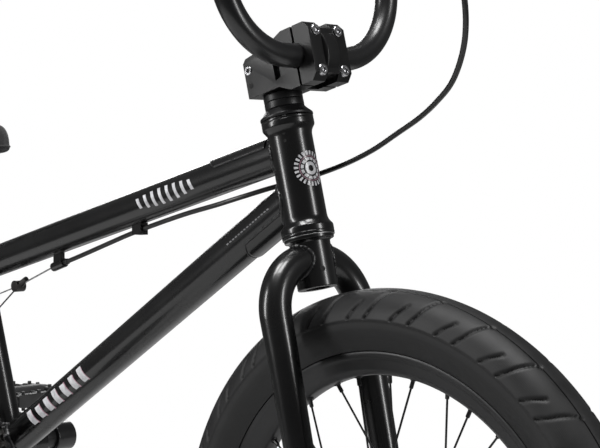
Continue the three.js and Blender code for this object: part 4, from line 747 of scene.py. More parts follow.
def bent(points, radii, steps=20):
    """A path through corner points with a circular arc of a given radius in place of each corner."""
    points = np.asarray(points, float)
    made = [points[:1]]
    for before, corner, after, radius in zip(points[:-2], points[1:-1], points[2:], radii):
        a, b = unit(before - corner), unit(after - corner)
        half = math.acos(np.clip(np.dot(a, b), -1, 1)) / 2
        centre = corner + unit(a + b) * radius / math.sin(half)
        start = corner + a * radius / math.tan(half) - centre
        end = corner + b * radius / math.tan(half) - centre
        sweep = math.acos(np.clip(np.dot(unit(start), unit(end)), -1, 1))
        t = np.linspace(0, 1, steps)[:, None]
        made.append(centre + (np.sin((1 - t) * sweep) * start + np.sin(t * sweep) * end) / math.sin(sweep))
    made.append(points[-1:])
    return np.concatenate(made)


def axle_height(joint_way, reach, across, below=0.0):
    """A point out from the rear axle along a stay, to one side, and square to the stay."""
    return rear_axle + joint_way * reach + sideways * across + np.array([joint_way[2], 0, -joint_way[0]]) * below


stay_foot = on_seat_tube(0.1975)
seat_stay_way = unit(stay_foot - rear_axle)
seat_stay_reach = np.linalg.norm(stay_foot - rear_axle)
chain_stay_way = unit(bracket - rear_axle)
stay_paths = {}
for word, side in (("right", -1), ("left", 1)):
    seat_path = bent([axle_height(seat_stay_way, 0.036, side * 0.0645), axle_height(seat_stay_way, 0.150, side * 0.052),
                      axle_height(seat_stay_way, 0.278, side * 0.043),
                      axle_height(seat_stay_way, seat_stay_reach - 0.010, side * 0.012)], [0.2, 0.06])
    chain_path = bent([axle_height(chain_stay_way, 0.036, side * 0.0645),
                       axle_height(chain_stay_way, 0.185, side * 0.046),
                       axle_height(chain_stay_way, 0.278, side * 0.0415),
                       axle_height(chain_stay_way, 0.343, side * 0.023)], [0.3, 0.06])
    stay_paths["seat", word], stay_paths["chain", word] = seat_path, chain_path
    for kind, path, radius in (("seat", seat_path, 0.0085), ("chain", chain_path, 0.009)):
        path = even(path, 90)
        taper = np.interp(np.linspace(0, 1, 90), [0, 0.02, 0.25, 1], [radius * 0.72, radius * 0.9, radius, radius])
        skin = Skin(f"{kind}_stay_{word}_paint")
        skin.grid(tube(path, taper, 48))
        skin.build(frame_paint, "frame", f"{kind}_stay_{word}", slot="frame_paint")
    copied(f"dropout_{word}", frame_paint, "frame", bevel=0.0008)


def mitre(start, way, radius, axis_point, axis_way, other_radius, count):
    """Where a tube's outside meets another's: each line along the first tube is cut by the
    second cylinder, at the larger root of its quadratic."""
    way, axis_way = unit(way), unit(axis_way)
    first = unit(np.cross(way, axis_way if abs(np.dot(way, axis_way)) < 0.95 else sideways))
    second = np.cross(way, first)
    turn = np.linspace(0, 2 * np.pi, count, endpoint=False)[:, None]
    line = start + radius * (first * np.cos(turn) + second * np.sin(turn))
    flat = lambda v: v - (v @ axis_way)[..., None] * axis_way
    w, a = flat(line - axis_point), flat(way[None])[0]
    half = w @ a
    inside = np.maximum(half ** 2 - (a @ a) * ((w ** 2).sum(1) - other_radius ** 2), 0)
    return line + ((-half + np.sqrt(inside)) / (a @ a))[:, None] * way


def weld(name, loop, body="frame", size=0.0019, closed=True, material=None):
    """A bead along a line, its thickness rising and falling every 3.6 mm like laid coins."""
    reach = np.linalg.norm(np.diff(loop, axis=0, append=loop[:1] if closed else loop[-1:]), axis=1).sum()
    steps = max(24, int(reach / 0.0009))
    path = even(np.concatenate([loop, loop[:1]]) if closed else loop, steps + 1)
    if closed:
        path = path[:-1]
    at = np.linspace(0, reach, len(path))
    radius = size * (1 + 0.2 * np.abs(np.sin(at / 0.0036 * np.pi)) + 0.05 * np.sin(at * 900))
    skin = Skin(name)
    skin.grid(tube(path, radius, 10, closed=closed), along=closed)
    return skin.build(material or weld_paint, body, slot="frame_paint", sharp=60)


top_way, down_way = unit(top_rear - top_front), unit(down_rear - down_front)
weld("weld_head_top", mitre(top_front, top_way, top_radius, steering_foot, axis_up, head_radius, 160))
weld("weld_head_down", mitre(down_front, down_way, down_radius, steering_foot, axis_up, head_radius, 160))
weld("weld_top_seat", mitre(top_rear, -top_way, top_radius, bracket, seat_way, seat_radius, 160)[::-1])
weld("weld_seat_shell", mitre(bracket, seat_way, seat_radius, bracket, wheel_axis, 0.0235, 140))
weld("weld_down_shell", mitre(bracket, -down_way, down_radius, bracket, wheel_axis, 0.0235, 160))
for word, side in (("right", -1), ("left", 1)):
    path = stay_paths["chain", word]
    weld(f"weld_chain_stay_{word}", mitre(path[-1], path[-2] - path[-1], 0.009, bracket, wheel_axis, 0.0235, 90),
         size=0.0014)
    path = stay_paths["seat", word]
    weld(f"weld_seat_stay_{word}", mitre(path[-1], path[-2] - path[-1], 0.0085, bracket, seat_way, seat_radius, 90),
         size=0.0014)
    for kind in ("seat", "chain"):
        path = stay_paths[kind, word]
        way = unit(path[1] - path[0])
        across = unit(np.cross(way, sideways))
        turn = np.linspace(0, 2 * np.pi, 60, endpoint=False)[:, None]
        loop = path[0] + way * 0.004 + 0.0078 * (sideways * np.cos(turn) + across * np.sin(turn)) \
            + way * 0.003 * np.cos(turn) ** 2
        weld(f"weld_{kind}_stay_end_{word}", loop, size=0.0012)


def wrapped_gusset(name, start, way, radius, facing_way, reach, spread, thick, tongue):
    """A half sleeve of sheet steel over a tube: it spans an arc of the tube, and its far end is a
    rounded tongue. The grid runs over the outside and back round the edge."""
    across = unit(np.cross(way, facing_way))
    up = np.cross(across, way)
    u = np.linspace(0, 1, 40)[:, None]
    lean = np.linspace(-1, 1, 61)[None, :]
    edge = reach - tongue * np.abs(lean) ** 2.6
    along = 0.004 + u * (edge - 0.004)
    angle = lean * spread
    rim = np.minimum(np.minimum((edge - along) / 0.0016, (1 - np.abs(lean)) * spread * radius / 0.0016), 1)
    lift = radius + 0.0001 + thick * np.sqrt(np.clip(1 - (1 - rim) ** 2, 0, 1))
    outer = (start + along[..., None] * way + (lift * np.cos(angle))[..., None] * up
             + (lift * np.sin(angle))[..., None] * across)
    low = radius - 0.0015
    inner = (start + along[..., None] * way + (low * np.cos(angle))[..., None] * up
             + (low * np.sin(angle))[..., None] * across)
    skin = Skin(name)
    loop = np.concatenate([outer, inner[:, ::-1]], 1)
    skin.grid(loop)
    skin.build(frame_paint, "frame", slot="frame_paint", sharp=50)
    side_lines = []
    for k in (-1, 1):
        a = k * spread * 1.01
        far = reach - tongue
        t = np.linspace(0.004, far, 60)[:, None]
        side_lines.append(start + t * way + (radius + 0.0004) * (math.cos(a) * up + math.sin(a) * across))
    for word, line in zip(("a", "b"), side_lines):
        weld(f"{name}_weld_{word}", line, size=0.0011, closed=False)
    t = np.linspace(-1, 1, 90)[:, None]
    end = start + (reach - tongue * np.abs(t) ** 2.6 + 0.0004) * way + (radius + 0.0003) * (
        np.cos(t * spread) * up + np.sin(t * spread) * across)
    weld(f"{name}_weld_end", end, size=0.0008, closed=False)


gusset_start = mitre(top_front, top_way, top_radius, steering_foot, axis_up, head_radius, 4).mean(0)
top_normal = unit(np.cross(np.cross(top_way, axis_up), top_way))
top_skin_start = top_front + top_way * np.dot(gusset_start - top_front, top_way)
wrapped_gusset("top_gusset", top_skin_start, top_way, top_radius, top_normal, 0.088, 1.13, 0.0016, 0.012)
gusset_start = mitre(down_front, down_way, down_radius, steering_foot, axis_up, head_radius, 4).mean(0)
down_skin_start = down_front + down_way * np.dot(gusset_start - down_front, down_way)
down_normal = -unit(np.cross(np.cross(down_way, axis_up), down_way))
wrapped_gusset("lower_gusset", down_skin_start, down_way, down_radius, down_normal, 0.068, 1.05, 0.0016, 0.010)


# Two small vent holes in the head tube, drawn as near-black dishes with a raised ring round each: painted shade
# standing in for the inside of each hole.
hole_shade_black = worn("drilled_hole", (0.001, 0.001, 0.001), (0.003, 0.003, 0.003), 0.7, 0.9)


def hole_shade_dish(name, place, way, radius, body):
    """A shallow near-black dish just proud of the surface, with a raised ring round it: painted shade in place of a
    hole's dark inside.
    """
    skin = Skin(name)
    skin.grid(lathe([[radius, 0.0001], [radius * 0.9, 0.00025], [radius * 0.4, 0.0002]], place, way, 24))
    skin.build(hole_shade_black, body)


for height in (0.4205, 0.4132):
    lean = math.radians(-62)
    way = axis_front * math.cos(lean) + sideways * math.sin(lean)
    hole_shade_dish(f"head_vent_{int(height * 1e4)}", steered(0, 0, height) + way * head_radius, way, 0.0016, "frame")


# ------------------------------------------------------------------ headset and fork
# Alloy cap and spacers over a steel steerer. The fork is two tapered steel legs bent in from
# the sides and welded to the crown tube, with thick plates at the tips.
cap_low = head_high + 0.0003
spacer_low = cap_low + 0.0095 + 0.0003
stem_low = head_high + 0.0006 + 0.0095 + 0.0144 + 0.0003
stem_high = stem_low + 0.038
cap = Skin("headset_dust_cap")
cap.grid(lathe(eased([[0.0148, cap_low], [0.0247, cap_low], [0.0252, cap_low + 0.0008], [0.0252, cap_low + 0.0026],
                      [0.0243, cap_low + 0.0034], [0.0205, cap_low + 0.0072], [0.0189, cap_low + 0.0095],
                      [0.0148, cap_low + 0.0095], [0.0148, cap_low]], 0.0007), steering_foot, axis_up, 128), along=True)
cap.build(anodised, "steering", "headset_cap", slot="satin_black", sharp=40)
spacer = Skin("headset_spacer_pair")
for k in (0, 1):
    low = spacer_low + k * 0.0072
    spacer.grid(lathe(eased([[0.0148, low], [0.0180, low], [0.0186, low + 0.0005], [0.0186, low + 0.0066],
                             [0.0180, low + 0.0071], [0.0148, low + 0.0071], [0.0148, low]], 0.0003),
                      steering_foot, axis_up, 112), along=True)
spacer.build(anodised, "steering", "headset_spacers", slot="satin_black", sharp=40)
for word, low in (("lower", head_low + 0.0003), ("upper", head_high - 0.0073)):
    race = Skin(f"headset_race_{word}")
    race.grid(lathe(eased([[0.0146, low], [0.0206, low], [0.0206, low + 0.007], [0.0146, low + 0.007],
                           [0.0146, low]], 0.0006), steering_foot, axis_up, 64), along=True)
    race.build(axle_steel, "frame", f"headset_bearing_{word}", slot="dark_steel")

crown_low = head_low - 0.049
crown_radius = 0.019
steerer = Skin("steerer_and_crown")
steerer.grid(lathe(eased([
    [0.0115, crown_low], [0.0186, crown_low], [crown_radius, crown_low + 0.0006],
    [crown_radius, head_low - 0.0065], [0.0206, head_low - 0.0045], [0.0232, head_low - 0.0040],
    [0.0236, head_low - 0.0010], [0.0232, head_low - 0.0005], [0.0143, head_low - 0.0004],
    [0.0143, stem_high - 0.0035], [0.0138, stem_high - 0.003], [0.0115, stem_high - 0.003]], 0.0006),
    steering_foot, axis_up, 112), along=True)
steerer.build(frame_paint, "steering", "fork_steerer", slot="frame_paint", sharp=40)

lip = Skin("crown_race_lip")
lip.grid(lathe(eased([[0.0234, head_low - 0.0012], [0.0246, head_low - 0.0010], [0.0246, head_low - 0.0003],
                      [0.0234, head_low - 0.0003], [0.0234, head_low - 0.0012]], 0.0002), steering_foot, axis_up, 112),
         along=True)
lip.build(worn("bare_lip", (0.22, 0.22, 0.22), (0.4, 0.4, 0.4), 0.3, 0.45, metallic=1.0), "steering")


def leg_path(side):
    """From the crown tube out and over in one bend, then down to the tip with a slight taper in."""
    corner = bent([[-0.001, side * 0.010, 0.3025], [-0.004, side * 0.057, 0.300], [-0.004, side * 0.057, 0.232]],
                  [0.052], 40)
    path = np.concatenate([corner, between([-0.004, side * 0.057, 0.22], [-0.008, side * 0.0555, 0.024], 40)])
    path = even(path, 140)
    return steered(path[:, 0], path[:, 1], path[:, 2])


for word, side in (("right", -1), ("left", 1)):
    path = leg_path(side)
    share = np.linspace(0, 1, 140)
    radius = np.interp(share, [0, 0.25, 0.97, 0.985, 1.0], [0.0149, 0.0149, 0.0124, 0.0118, 0.0095])
    leg = Skin(f"fork_leg_{word}_blade")
    leg.grid(tube(path, radius, 72))
    tip_outline = eased(np.array([
        [0.0341, -0.016], [0.0341, 0.0], [0.0325, 0.0035], [0.0287, 0.0054], [0.0249, 0.0035], [0.0233, 0.0],
        [0.0233, -0.016], [0.0143, -0.015], [-0.017, 0.016], [-0.019, 0.036], [0.001, 0.040], [0.0407, 0.012],
        [0.0427, -0.014], [0.0341, -0.016]]), 0.002, 3)
    near = 0.0500
    far = near + 0.006
    tip_face = steered(tip_outline[:-1, 0], side * (near + 0.0006), tip_outline[:-1, 1])
    leg.build(frame_paint, "steering", f"fork_leg_{word}", slot="frame_paint")
    flat = bmesh.new()
    front_ring = [flat.verts.new(p) for p in tip_face]
    face = flat.faces.new(front_ring)
    made = bmesh.ops.extrude_face_region(flat, geom=[face])
    moved = [v for v in made["geom"] if isinstance(v, bmesh.types.BMVert)]
    bmesh.ops.translate(flat, verts=moved, vec=list(sideways * side * (far - near - 0.0012)))
    bmesh.ops.recalc_face_normals(flat, faces=flat.faces)
    mesh = bpy.data.meshes.new(f"fork_tip_{word}")
    flat.to_mesh(mesh)
    flat.free()
    mesh.polygons.foreach_set("use_smooth", np.ones(len(mesh.polygons), bool))
    mesh.set_sharp_from_angle(angle=math.radians(30))
    mesh.materials.append(frame_paint.made)
    tip_piece = bpy.data.objects.new(f"fork_tip_{word}", mesh)
    bpy.context.scene.collection.objects.link(tip_piece)
    rounding = tip_piece.modifiers.new("rounding", "BEVEL")
    rounding.width, rounding.segments, rounding.limit_method = 0.0007, 2, "ANGLE"
    rounding.harden_normals = True
    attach(tip_piece, "steering")
    leg_start, leg_way = path[0], unit(path[4] - path[0])
    weld(f"weld_fork_leg_{word}", mitre(leg_start, leg_way, 0.0149, steering_foot, axis_up, crown_radius, 140),
         "steering", size=0.0019)
drain = math.radians(-24)
drain_way = axis_front * math.cos(drain) + sideways * math.sin(drain)
# Painted shade: the crown's drain hole is a near-black dish on the surface, not a cut hole.
hole_shade_dish("crown_drain_hole", steered(0, 0, 0.2905) + drain_way * crown_radius, drain_way, 0.0026, "steering")


# ------------------------------------------------------------------ stem
# A machined alloy block clamped to the steerer from behind by two cross bolts, with a face plate
# that holds the bar by four zinc-plated socket bolts.
stem_alloy = worn("machined_black_alloy", (0.004, 0.004, 0.0042), (0.0095, 0.0095, 0.0098), 0.28, 0.4, patch=24,
                  grain=2200, bump=0.05, scratches=0.2, metallic=0.25, Coat_Weight=0.1)
bolt_steel = worn("zinc_plated_steel", (0.42, 0.42, 0.43), (0.68, 0.68, 0.7), 0.18, 0.36, patch=180, grain=2400,
                  bump=0.08, scratches=0.4, metallic=1.0)
copied("stem_body", stem_alloy, "steering", bevel=0.0011)
copied("stem_faceplate", stem_alloy, "steering", bevel=0.0013)
bar_forward, bar_height = 0.0475, 0.4831


def socket_bolt(name, place, way, radius, body, node=None, shank=0.004, depth=0.0034, material=None):
    """A knurled round head with a chamfer and a hexagon socket sunk in it, on a plain shank."""
    way = unit(way)
    first = unit(np.cross(way, [0.3, 0.9, 0.2]))
    second = np.cross(way, first)
    turn = np.linspace(0, 2 * np.pi, 48, endpoint=False)
    hexagon = 0.56 * radius * np.cos(np.pi / 6) / np.cos((turn % (np.pi / 3)) - np.pi / 6)
    knurl = radius * (1 + 0.02 * np.sign(np.sin(turn * 16)))
    rings = [(np.full(48, radius * 0.6), -shank - depth), (np.full(48, radius * 0.6), -depth), (knurl, -depth),
             (knurl, -0.0007), (np.full(48, radius * 0.9), 0.0), (hexagon * 1.08, 0.0), (hexagon, -0.0003),
             (hexagon, -0.0021), (np.full(48, radius * 0.1), -0.0027)]
    grid = np.stack([place + h * way + r[:, None] * (first * np.cos(turn)[:, None] + second * np.sin(turn)[:, None])
                     for r, h in rings])
    skin = Skin(name)
    skin.grid(grid)
    return skin.build(material or bolt_steel, body, *([node] if node else []),
                      slot="bright_steel" if material is None else "dark_steel", sharp=30)


number = 0
for up in (1, -1):
    for across in (-1, 1):
        number += 1
        socket_bolt(f"faceplate_screw_{number}",
                    steered(bar_forward + 0.0226, across * 0.0147, bar_height + up * 0.0188), axis_front, 0.0052,
                    "steering", f"faceplate_bolt_{number}", shank=0.030, depth=0.0046)
for height, side in ((0.4877, -1), (0.4732, 1)):
    socket_bolt(f"pinch_bolt_{'upper' if side < 0 else 'lower'}", steered(-0.0150, side * 0.0252, height),
                sideways * side, 0.0043, "steering", depth=0.0016, shank=0.002)
    way = -sideways * side
    # Painted shade: the far end of each pinch bolt's hole is a near-black dish on the stem's side.
    hole_shade_dish(f"pinch_bolt_end_{'upper' if side < 0 else 'lower'}", steered(-0.0150, -side * 0.0240, height), way,
            0.0027, "steering")


def bulged_panel(name, half_wide, half_high, rise):
    """The plate's middle, wrapped round the bar: a cylinder about the bar's own line whose four
    edges fall away as a rounded step."""
    u = np.linspace(-1, 1, 46)[:, None]
    v = np.linspace(-1, 1, 46)[None, :]
    edge = np.minimum((1 - np.abs(u)) * half_wide, (1 - np.abs(v)) * half_high) / 0.0016
    step = np.sqrt(np.clip(1 - (1 - np.minimum(edge, 1)) ** 2, 0, 1))
    arc = np.sqrt(np.maximum((0.0262) ** 2 - (v * half_high) ** 2, 0)) - 0.0210
    forward = bar_forward + 0.0204 + (rise * 0.3 + arc * 0.75) * step
    grid = steered(forward, u * half_wide + 0 * v, bar_height + v * half_high + 0 * u)
    behind = steered(bar_forward + 0.0190 + 0 * forward, u * half_wide + 0 * v, bar_height + v * half_high + 0 * u)
    skin = Skin(name)
    skin.slab(grid, behind, flip=True)
    return skin.build(stem_alloy, "steering", slot="satin_black", sharp=50)


bulged_panel("faceplate_panel", 0.0085, 0.0185, 0.0035)

top_cap = Skin("stem_top_cap")
top_cap.grid(lathe(eased([[0.0036, stem_high + 0.0012], [0.0142, stem_high + 0.0012], [0.0160, stem_high + 0.0004],
                          [0.0160, stem_high - 0.0022], [0.0036, stem_high - 0.0022], [0.0036, stem_high + 0.0012]][::-1],
                         0.0006), steering_foot, axis_up, 80), along=True)
top_cap.build(stem_alloy, "steering", slot="satin_black", sharp=40)
socket_bolt("top_cap_bolt", steered(0, 0, stem_high + 0.0030), axis_up, 0.0052, "steering", depth=0.003, shank=0.006)


# ------------------------------------------------------------------ handlebar and grips
# One steel tube bent four times, with a straight crossbar welded between its uprights. Ribbed
# rubber grips with a flange are pushed on, and a plastic plug closes each end.
lean_back, splay_angle, sweep_angle = math.radians(8), math.radians(11.35), math.radians(11)
bar_rise = 0.222
lower_out = 0.0363 + 0.0747 * math.tan((math.pi / 2 - splay_angle) / 2)
upper_out = lower_out + bar_rise * math.tan(splay_angle)
grip_start = upper_out + 0.060 * math.tan((math.pi / 2 - splay_angle) / 2) + 0.002


def on_bar(side, out, up, back=0.0):
    """A point in the bar's leaning plane: out from the middle, up from the clamp, and swept back."""
    return steered(bar_forward + up * math.sin(lean_back) - back, side * out, bar_height + up * math.cos(lean_back))


def along_grip(side, length):
    reach = grip_start - upper_out + length
    return on_bar(side, upper_out + reach * math.cos(sweep_angle), bar_rise, reach * math.sin(sweep_angle))


bar_corners = [along_grip(-1, 0.170), on_bar(-1, upper_out, bar_rise), on_bar(-1, lower_out, 0),
               on_bar(1, lower_out, 0), on_bar(1, upper_out, bar_rise), along_grip(1, 0.170)]
bar_paint = worn("satin_black_bar", (0.005, 0.005, 0.0055), (0.012, 0.012, 0.0125), 0.27, 0.38, patch=12,
                 grain=620, bump=0.04, scratches=0.15, Coat_Weight=0.2, Coat_Roughness=0.2)
bar_skin = Skin("bar_and_crossbar")
bar_skin.grid(tube(even(bent(bar_corners, [0.060, 0.0747, 0.0747, 0.060], 36), 420), 0.0111, 48))
cross_out = lower_out + 0.128 * math.tan(splay_angle)
cross_ends = [on_bar(-1, cross_out, 0.128), on_bar(1, cross_out, 0.128)]
bar_skin.grid(tube(between(*cross_ends, 12), 0.008, 40))
bar_skin.build(bar_paint, "steering", "handlebar", slot="frame_paint")
for word, side in (("right", -1), ("left", 1)):
    upright = unit(on_bar(side, upper_out, bar_rise) - on_bar(side, lower_out, 0))
    loop = mitre(on_bar(side, cross_out, 0.128), -sideways * side, 0.008, on_bar(side, lower_out, 0), upright,
                 0.0111, 90)
    weld(f"weld_crossbar_{word}", loop, "steering", size=0.0013)

grip_rubber = worn("grip_rubber", (0.010, 0.010, 0.010), (0.022, 0.022, 0.022), 0.6, 0.78, patch=40, grain=1700,
                   bump=0.25, scratches=0.05)
plug_plastic = worn("plug_plastic", (0.008, 0.008, 0.008), (0.02, 0.02, 0.02), 0.38, 0.55, patch=50, grain=1300,
                    bump=0.08)
for word, side in (("right", -1), ("left", 1)):
    start = along_grip(side, 0.030)
    way = unit(along_grip(side, 0.170) - start)
    reach = np.arange(0.0062, 0.1405, 0.00045)
    wave = 0.0145 + 0.0009 * np.clip(np.sin(reach / 0.0034 * 2 * np.pi) * 2.2, -1, 1)
    band = (reach > 0.058) & (reach < 0.074)
    wave = np.where(band, 0.0150, wave)
    body_profile = np.concatenate([[[0.0121, 0.0], [0.0218, 0.0], [0.0225, 0.0008], [0.0225, 0.0032], [0.0215, 0.0044],
                                    [0.0165, 0.0052]], np.stack([wave, reach], -1), [[0.0140, 0.1418], [0.0121, 0.142]]])
    grip = Skin(f"grip_{word}_ribbed")
    grip.grid(lathe(body_profile, start, way, 64))
    grip.build(grip_rubber, "steering", f"grip_{word}", slot="grip_rubber", sharp=55)
    plug = Skin(f"bar_plug_{word}")
    plug.grid(lathe(eased([[0.0095, 0.1405], [0.0154, 0.1412], [0.0154, 0.1425], [0.0120, 0.1430], [0.0030, 0.1430]],
                          0.0008), start, way, 56))
    plug.build(plug_plastic, "steering", slot="black_plastic")


# ------------------------------------------------------------------ crankset, pedals and chain
# Three-piece tubular steel cranks on a splined spindle, with a machined sprocket bolted to the
# right arm. The chain is half outer and half inner links on steel rollers.
crank_black = worn("crank_black_steel", (0.007, 0.007, 0.0075), (0.018, 0.018, 0.0185), 0.28, 0.44, patch=16,
                   grain=900, bump=0.05, scratches=0.25, metallic=0.15, Coat_Weight=0.2)
chain_line = -0.0495
arm_tilt = math.radians(8)
arm_way = np.array([math.cos(arm_tilt), 0.0, -math.sin(arm_tilt)])

spindle = Skin("spindle_tube")
spindle.grid(lathe(eased([[0.002, -0.0766], [0.0089, -0.0766], [0.0095, -0.076], [0.0095, 0.076], [0.0089, 0.0766],
                          [0.002, 0.0766]], 0.0004), bracket, wheel_axis, 48))
spindle.build(axle_steel, "crank", "crank_spindle", slot="dark_steel")
for word, side in (("right", -1), ("left", 1)):
    cup_skin = Skin(f"bracket_cup_{word}")
    cup_skin.grid(lathe(eased([[0.0101, 0.023], [0.0203, 0.023], [0.0203, 0.0334], [0.0140, 0.0340], [0.0101, 0.0338],
                               [0.0101, 0.023]], 0.0005), bracket, wheel_axis * side, 64), along=True)
    cup_skin.build(axle_steel, "frame", f"bracket_bearing_{word}", slot="dark_steel")
    spacer_ring = Skin(f"spindle_spacer_{word}")
    outer_end = 0.0455 if side < 0 else 0.0535
    spacer_ring.grid(lathe(eased([[0.0098, 0.0345], [0.0126, 0.0345], [0.0126, 0.0392], [0.0119, 0.0396],
                                  [0.0126, 0.0400], [0.0126, outer_end], [0.0098, outer_end], [0.0098, 0.0345]], 0.0004),
                           bracket, wheel_axis * side, 48), along=True)
    spacer_ring.build(anodised, "crank", slot="satin_black")
    way = arm_way * (1 if side < 0 else -1)
    eye = bracket + way * 0.170
    arm = Skin(f"crank_arm_{word}_tubular")
    boss = [[0.0100, 0.054], [0.0162, 0.054], [0.0170, 0.0548], [0.0170, 0.0789], [0.0162, 0.0797], [0.0100, 0.0797],
            [0.0100, 0.054]]
    arm.grid(lathe(eased(boss, 0.0008), bracket, wheel_axis * side, 64), along=True)
    path = between(bracket + way * 0.010 + sideways * side * 0.0645, eye + sideways * side * 0.0705, 40)
    arm.grid(tube(path, np.linspace(0.0108, 0.0086, 40), 48))
    arm.grid(lathe(eased([[0.003, 0.064], [0.0128, 0.064], [0.0135, 0.0648], [0.0135, 0.0762], [0.0128, 0.077],
                          [0.003, 0.077]], 0.0008), eye, wheel_axis * side, 56))
    arm.grid(lathe(eased([[0.002, 0.0768], [0.0082, 0.0768], [0.0082, 0.0812], [0.006, 0.0826], [0.0060, 0.168],
                          [0.0052, 0.169], [0.002, 0.169]], 0.0005), eye, wheel_axis * side, 32))
    arm.build(crank_black, "crank", f"crank_arm_{word}", slot="black_steel", sharp=40)
    arm_direction = unit(path[-1] - path[0])
    weld(f"weld_crank_boss_{word}", mitre(path[0], arm_direction, 0.0107, bracket, wheel_axis, 0.0170, 80), "crank",
         size=0.0012)
    weld(f"weld_crank_eye_{word}", mitre(path[-1], -arm_direction, 0.0087, eye, wheel_axis, 0.0135, 80), "crank",
         size=0.0011)
    socket_bolt(f"crank_end_bolt_{word}", bracket + sideways * side * 0.0812, sideways * side, 0.0088, "crank",
                depth=0.0016, shank=0.001, material=axle_steel)


def pitch_circle(teeth):
    return 0.0127 / (2 * math.sin(math.pi / teeth))


def toothed_wheel(name, centre, teeth, inner, thick, body, node, material, arms=0, hub=0.0, bore=0.0, slot_name=None):
    """A ring whose outside follows the teeth: radius = pitch + rounded square wave of the turn.
    Straight arms join it to a turned hub."""
    turn = np.linspace(0, 2 * np.pi, teeth * 16, endpoint=False)
    pitch = pitch_circle(teeth)
    wave = np.clip(1.55 * np.cos(turn * teeth), -1, 1)
    tooth = pitch - 0.0007 + 0.0034 * wave
    tooth = np.maximum(tooth, pitch - 0.0041)
    t = thick / 2
    rows = [(np.full_like(turn, inner), -t), (tooth - 0.0022, -t), (tooth, -t * 0.45), (tooth, t * 0.45),
            (tooth - 0.0022, t), (np.full_like(turn, inner), t)]
    grid = np.stack([np.stack([r * np.cos(turn), np.full_like(turn, y), r * np.sin(turn)], -1) for r, y in rows])
    skin = Skin(name)
    skin.grid(grid + centre, along=True, flip=True)
    for k in range(arms):
        lean = 2 * np.pi * (k + 0.5) / arms
        out = np.array([math.cos(lean), 0.0, math.sin(lean)])
        side = np.array([-math.sin(lean), 0.0, math.cos(lean)])
        length = np.linspace(hub * 0.8, inner + 0.0015, 14)[:, None]
        share = (length - hub * 0.8) / (inner - hub * 0.8)
        half = 0.0052 + 0.0050 * (share * 2 - 1) ** 2
        corners = np.array([[-1, 0.7], [-0.86, 1], [0.86, 1], [1, 0.7], [1, -0.7], [0.86, -1], [-0.86, -1], [-1, -0.7]])
        block = (centre + length[:, None] * out + corners[None, :, 0:1] * half[:, None] * side
                 + corners[None, :, 1:2] * t * sideways)
        skin.grid(block)
    if hub:
        skin.grid(lathe(eased([[bore, -0.0035], [hub, -0.0035], [hub, 0.0035], [bore, 0.0035], [bore, -0.0035]],
                              0.0005), centre, wheel_axis, 56), along=True)
    return skin.build(material, body, node, slot=slot_name, sharp=28)


sprocket_centre = bracket + sideways * chain_line
toothed_wheel("sprocket_ring", sprocket_centre, 25, 0.0385, 0.0036, "crank", "sprocket", anodised, arms=5, hub=0.0225,
              bore=0.0100, slot_name="black_steel")
# Five near-black dishes on the sprocket ring: painted shade standing in for holes.
for k in range(5):
    lean = 2 * math.pi * (k + 0.5) / 5
    place = sprocket_centre + 0.043 * np.array([math.cos(lean), 0, math.sin(lean)])
    hole_shade_dish(f"sprocket_dot_{k}", place + sideways * -0.0019, -sideways, 0.0016, "crank")
socket_bolt("sprocket_bolt", sprocket_centre + arm_way * 0.0275 + sideways * -0.0046, -sideways, 0.0052, "crank",
            depth=0.0026, shank=0.006, material=axle_steel)

driver_centre = rear_axle + sideways * chain_line
driver_steel = worn("driver_steel", (0.28, 0.27, 0.26), (0.5, 0.5, 0.49), 0.26, 0.44, patch=90, grain=1500,
                    metallic=1.0, scratches=0.4)
toothed_wheel("driver_cog", driver_centre, 9, 0.0118, 0.0024, "driver", "rear_driver", driver_steel,
              slot_name="bright_steel")
driver_neck = Skin("driver_neck")
driver_neck.grid(lathe(eased([[0.0076, -0.0027], [0.0119, -0.0027], [0.0123, -0.002], [0.0123, 0.0066],
                              [0.0119, 0.0072], [0.0076, 0.0072], [0.0076, -0.0027]], 0.0004), driver_centre,
                       wheel_axis, 56), along=True)
driver_neck.build(driver_steel, "driver", slot="bright_steel")

big, small = pitch_circle(25), pitch_circle(9)
span = np.linalg.norm(bracket - rear_axle)
wrap = math.asin((big - small) / span)
tilt = math.atan2(bracket[2] - rear_axle[2], bracket[0] - rear_axle[0])


def arc(centre, radius, start, end, steps):
    a = np.linspace(start, end, steps)
    return np.stack([centre[0] + radius * np.cos(a), np.full(steps, chain_line), centre[2] + radius * np.sin(a)], -1)


loop = np.concatenate([arc(bracket, big, tilt - math.pi / 2 - wrap, tilt + math.pi / 2 + wrap, 200),
                       arc(rear_axle, small, tilt + math.pi / 2 + wrap, tilt + 1.5 * math.pi - wrap, 120)])
loop = np.concatenate([loop, loop[:1]])
chain_length = np.linalg.norm(np.diff(loop, axis=0), axis=1).sum()
link_count = int(round(chain_length / 0.0127 / 2)) * 2
pins = even(loop, link_count + 1)[:-1]
following = np.roll(pins, -1, 0)
chain_steel = worn("chain_steel", (0.05, 0.048, 0.045), (0.16, 0.155, 0.15), 0.24, 0.46, patch=140, grain=1200,
                   metallic=1.0, scratches=0.35)
turn = np.linspace(0, 2 * np.pi, 20, endpoint=False)
half_pitch = 0.0127 / 2
reach_out = 0.0041 * np.cos(turn) + half_pitch * np.sign(np.cos(turn)) * (np.abs(np.cos(turn)) > 0.35)
height_out = np.where(np.abs(np.cos(turn)) > 0.35, 0.0041 * np.sin(turn), 0.0031 * np.sign(np.sin(turn)))
links = Skin("chain_links")
ways = unit(following - pins)
normals = np.cross(ways, sideways)
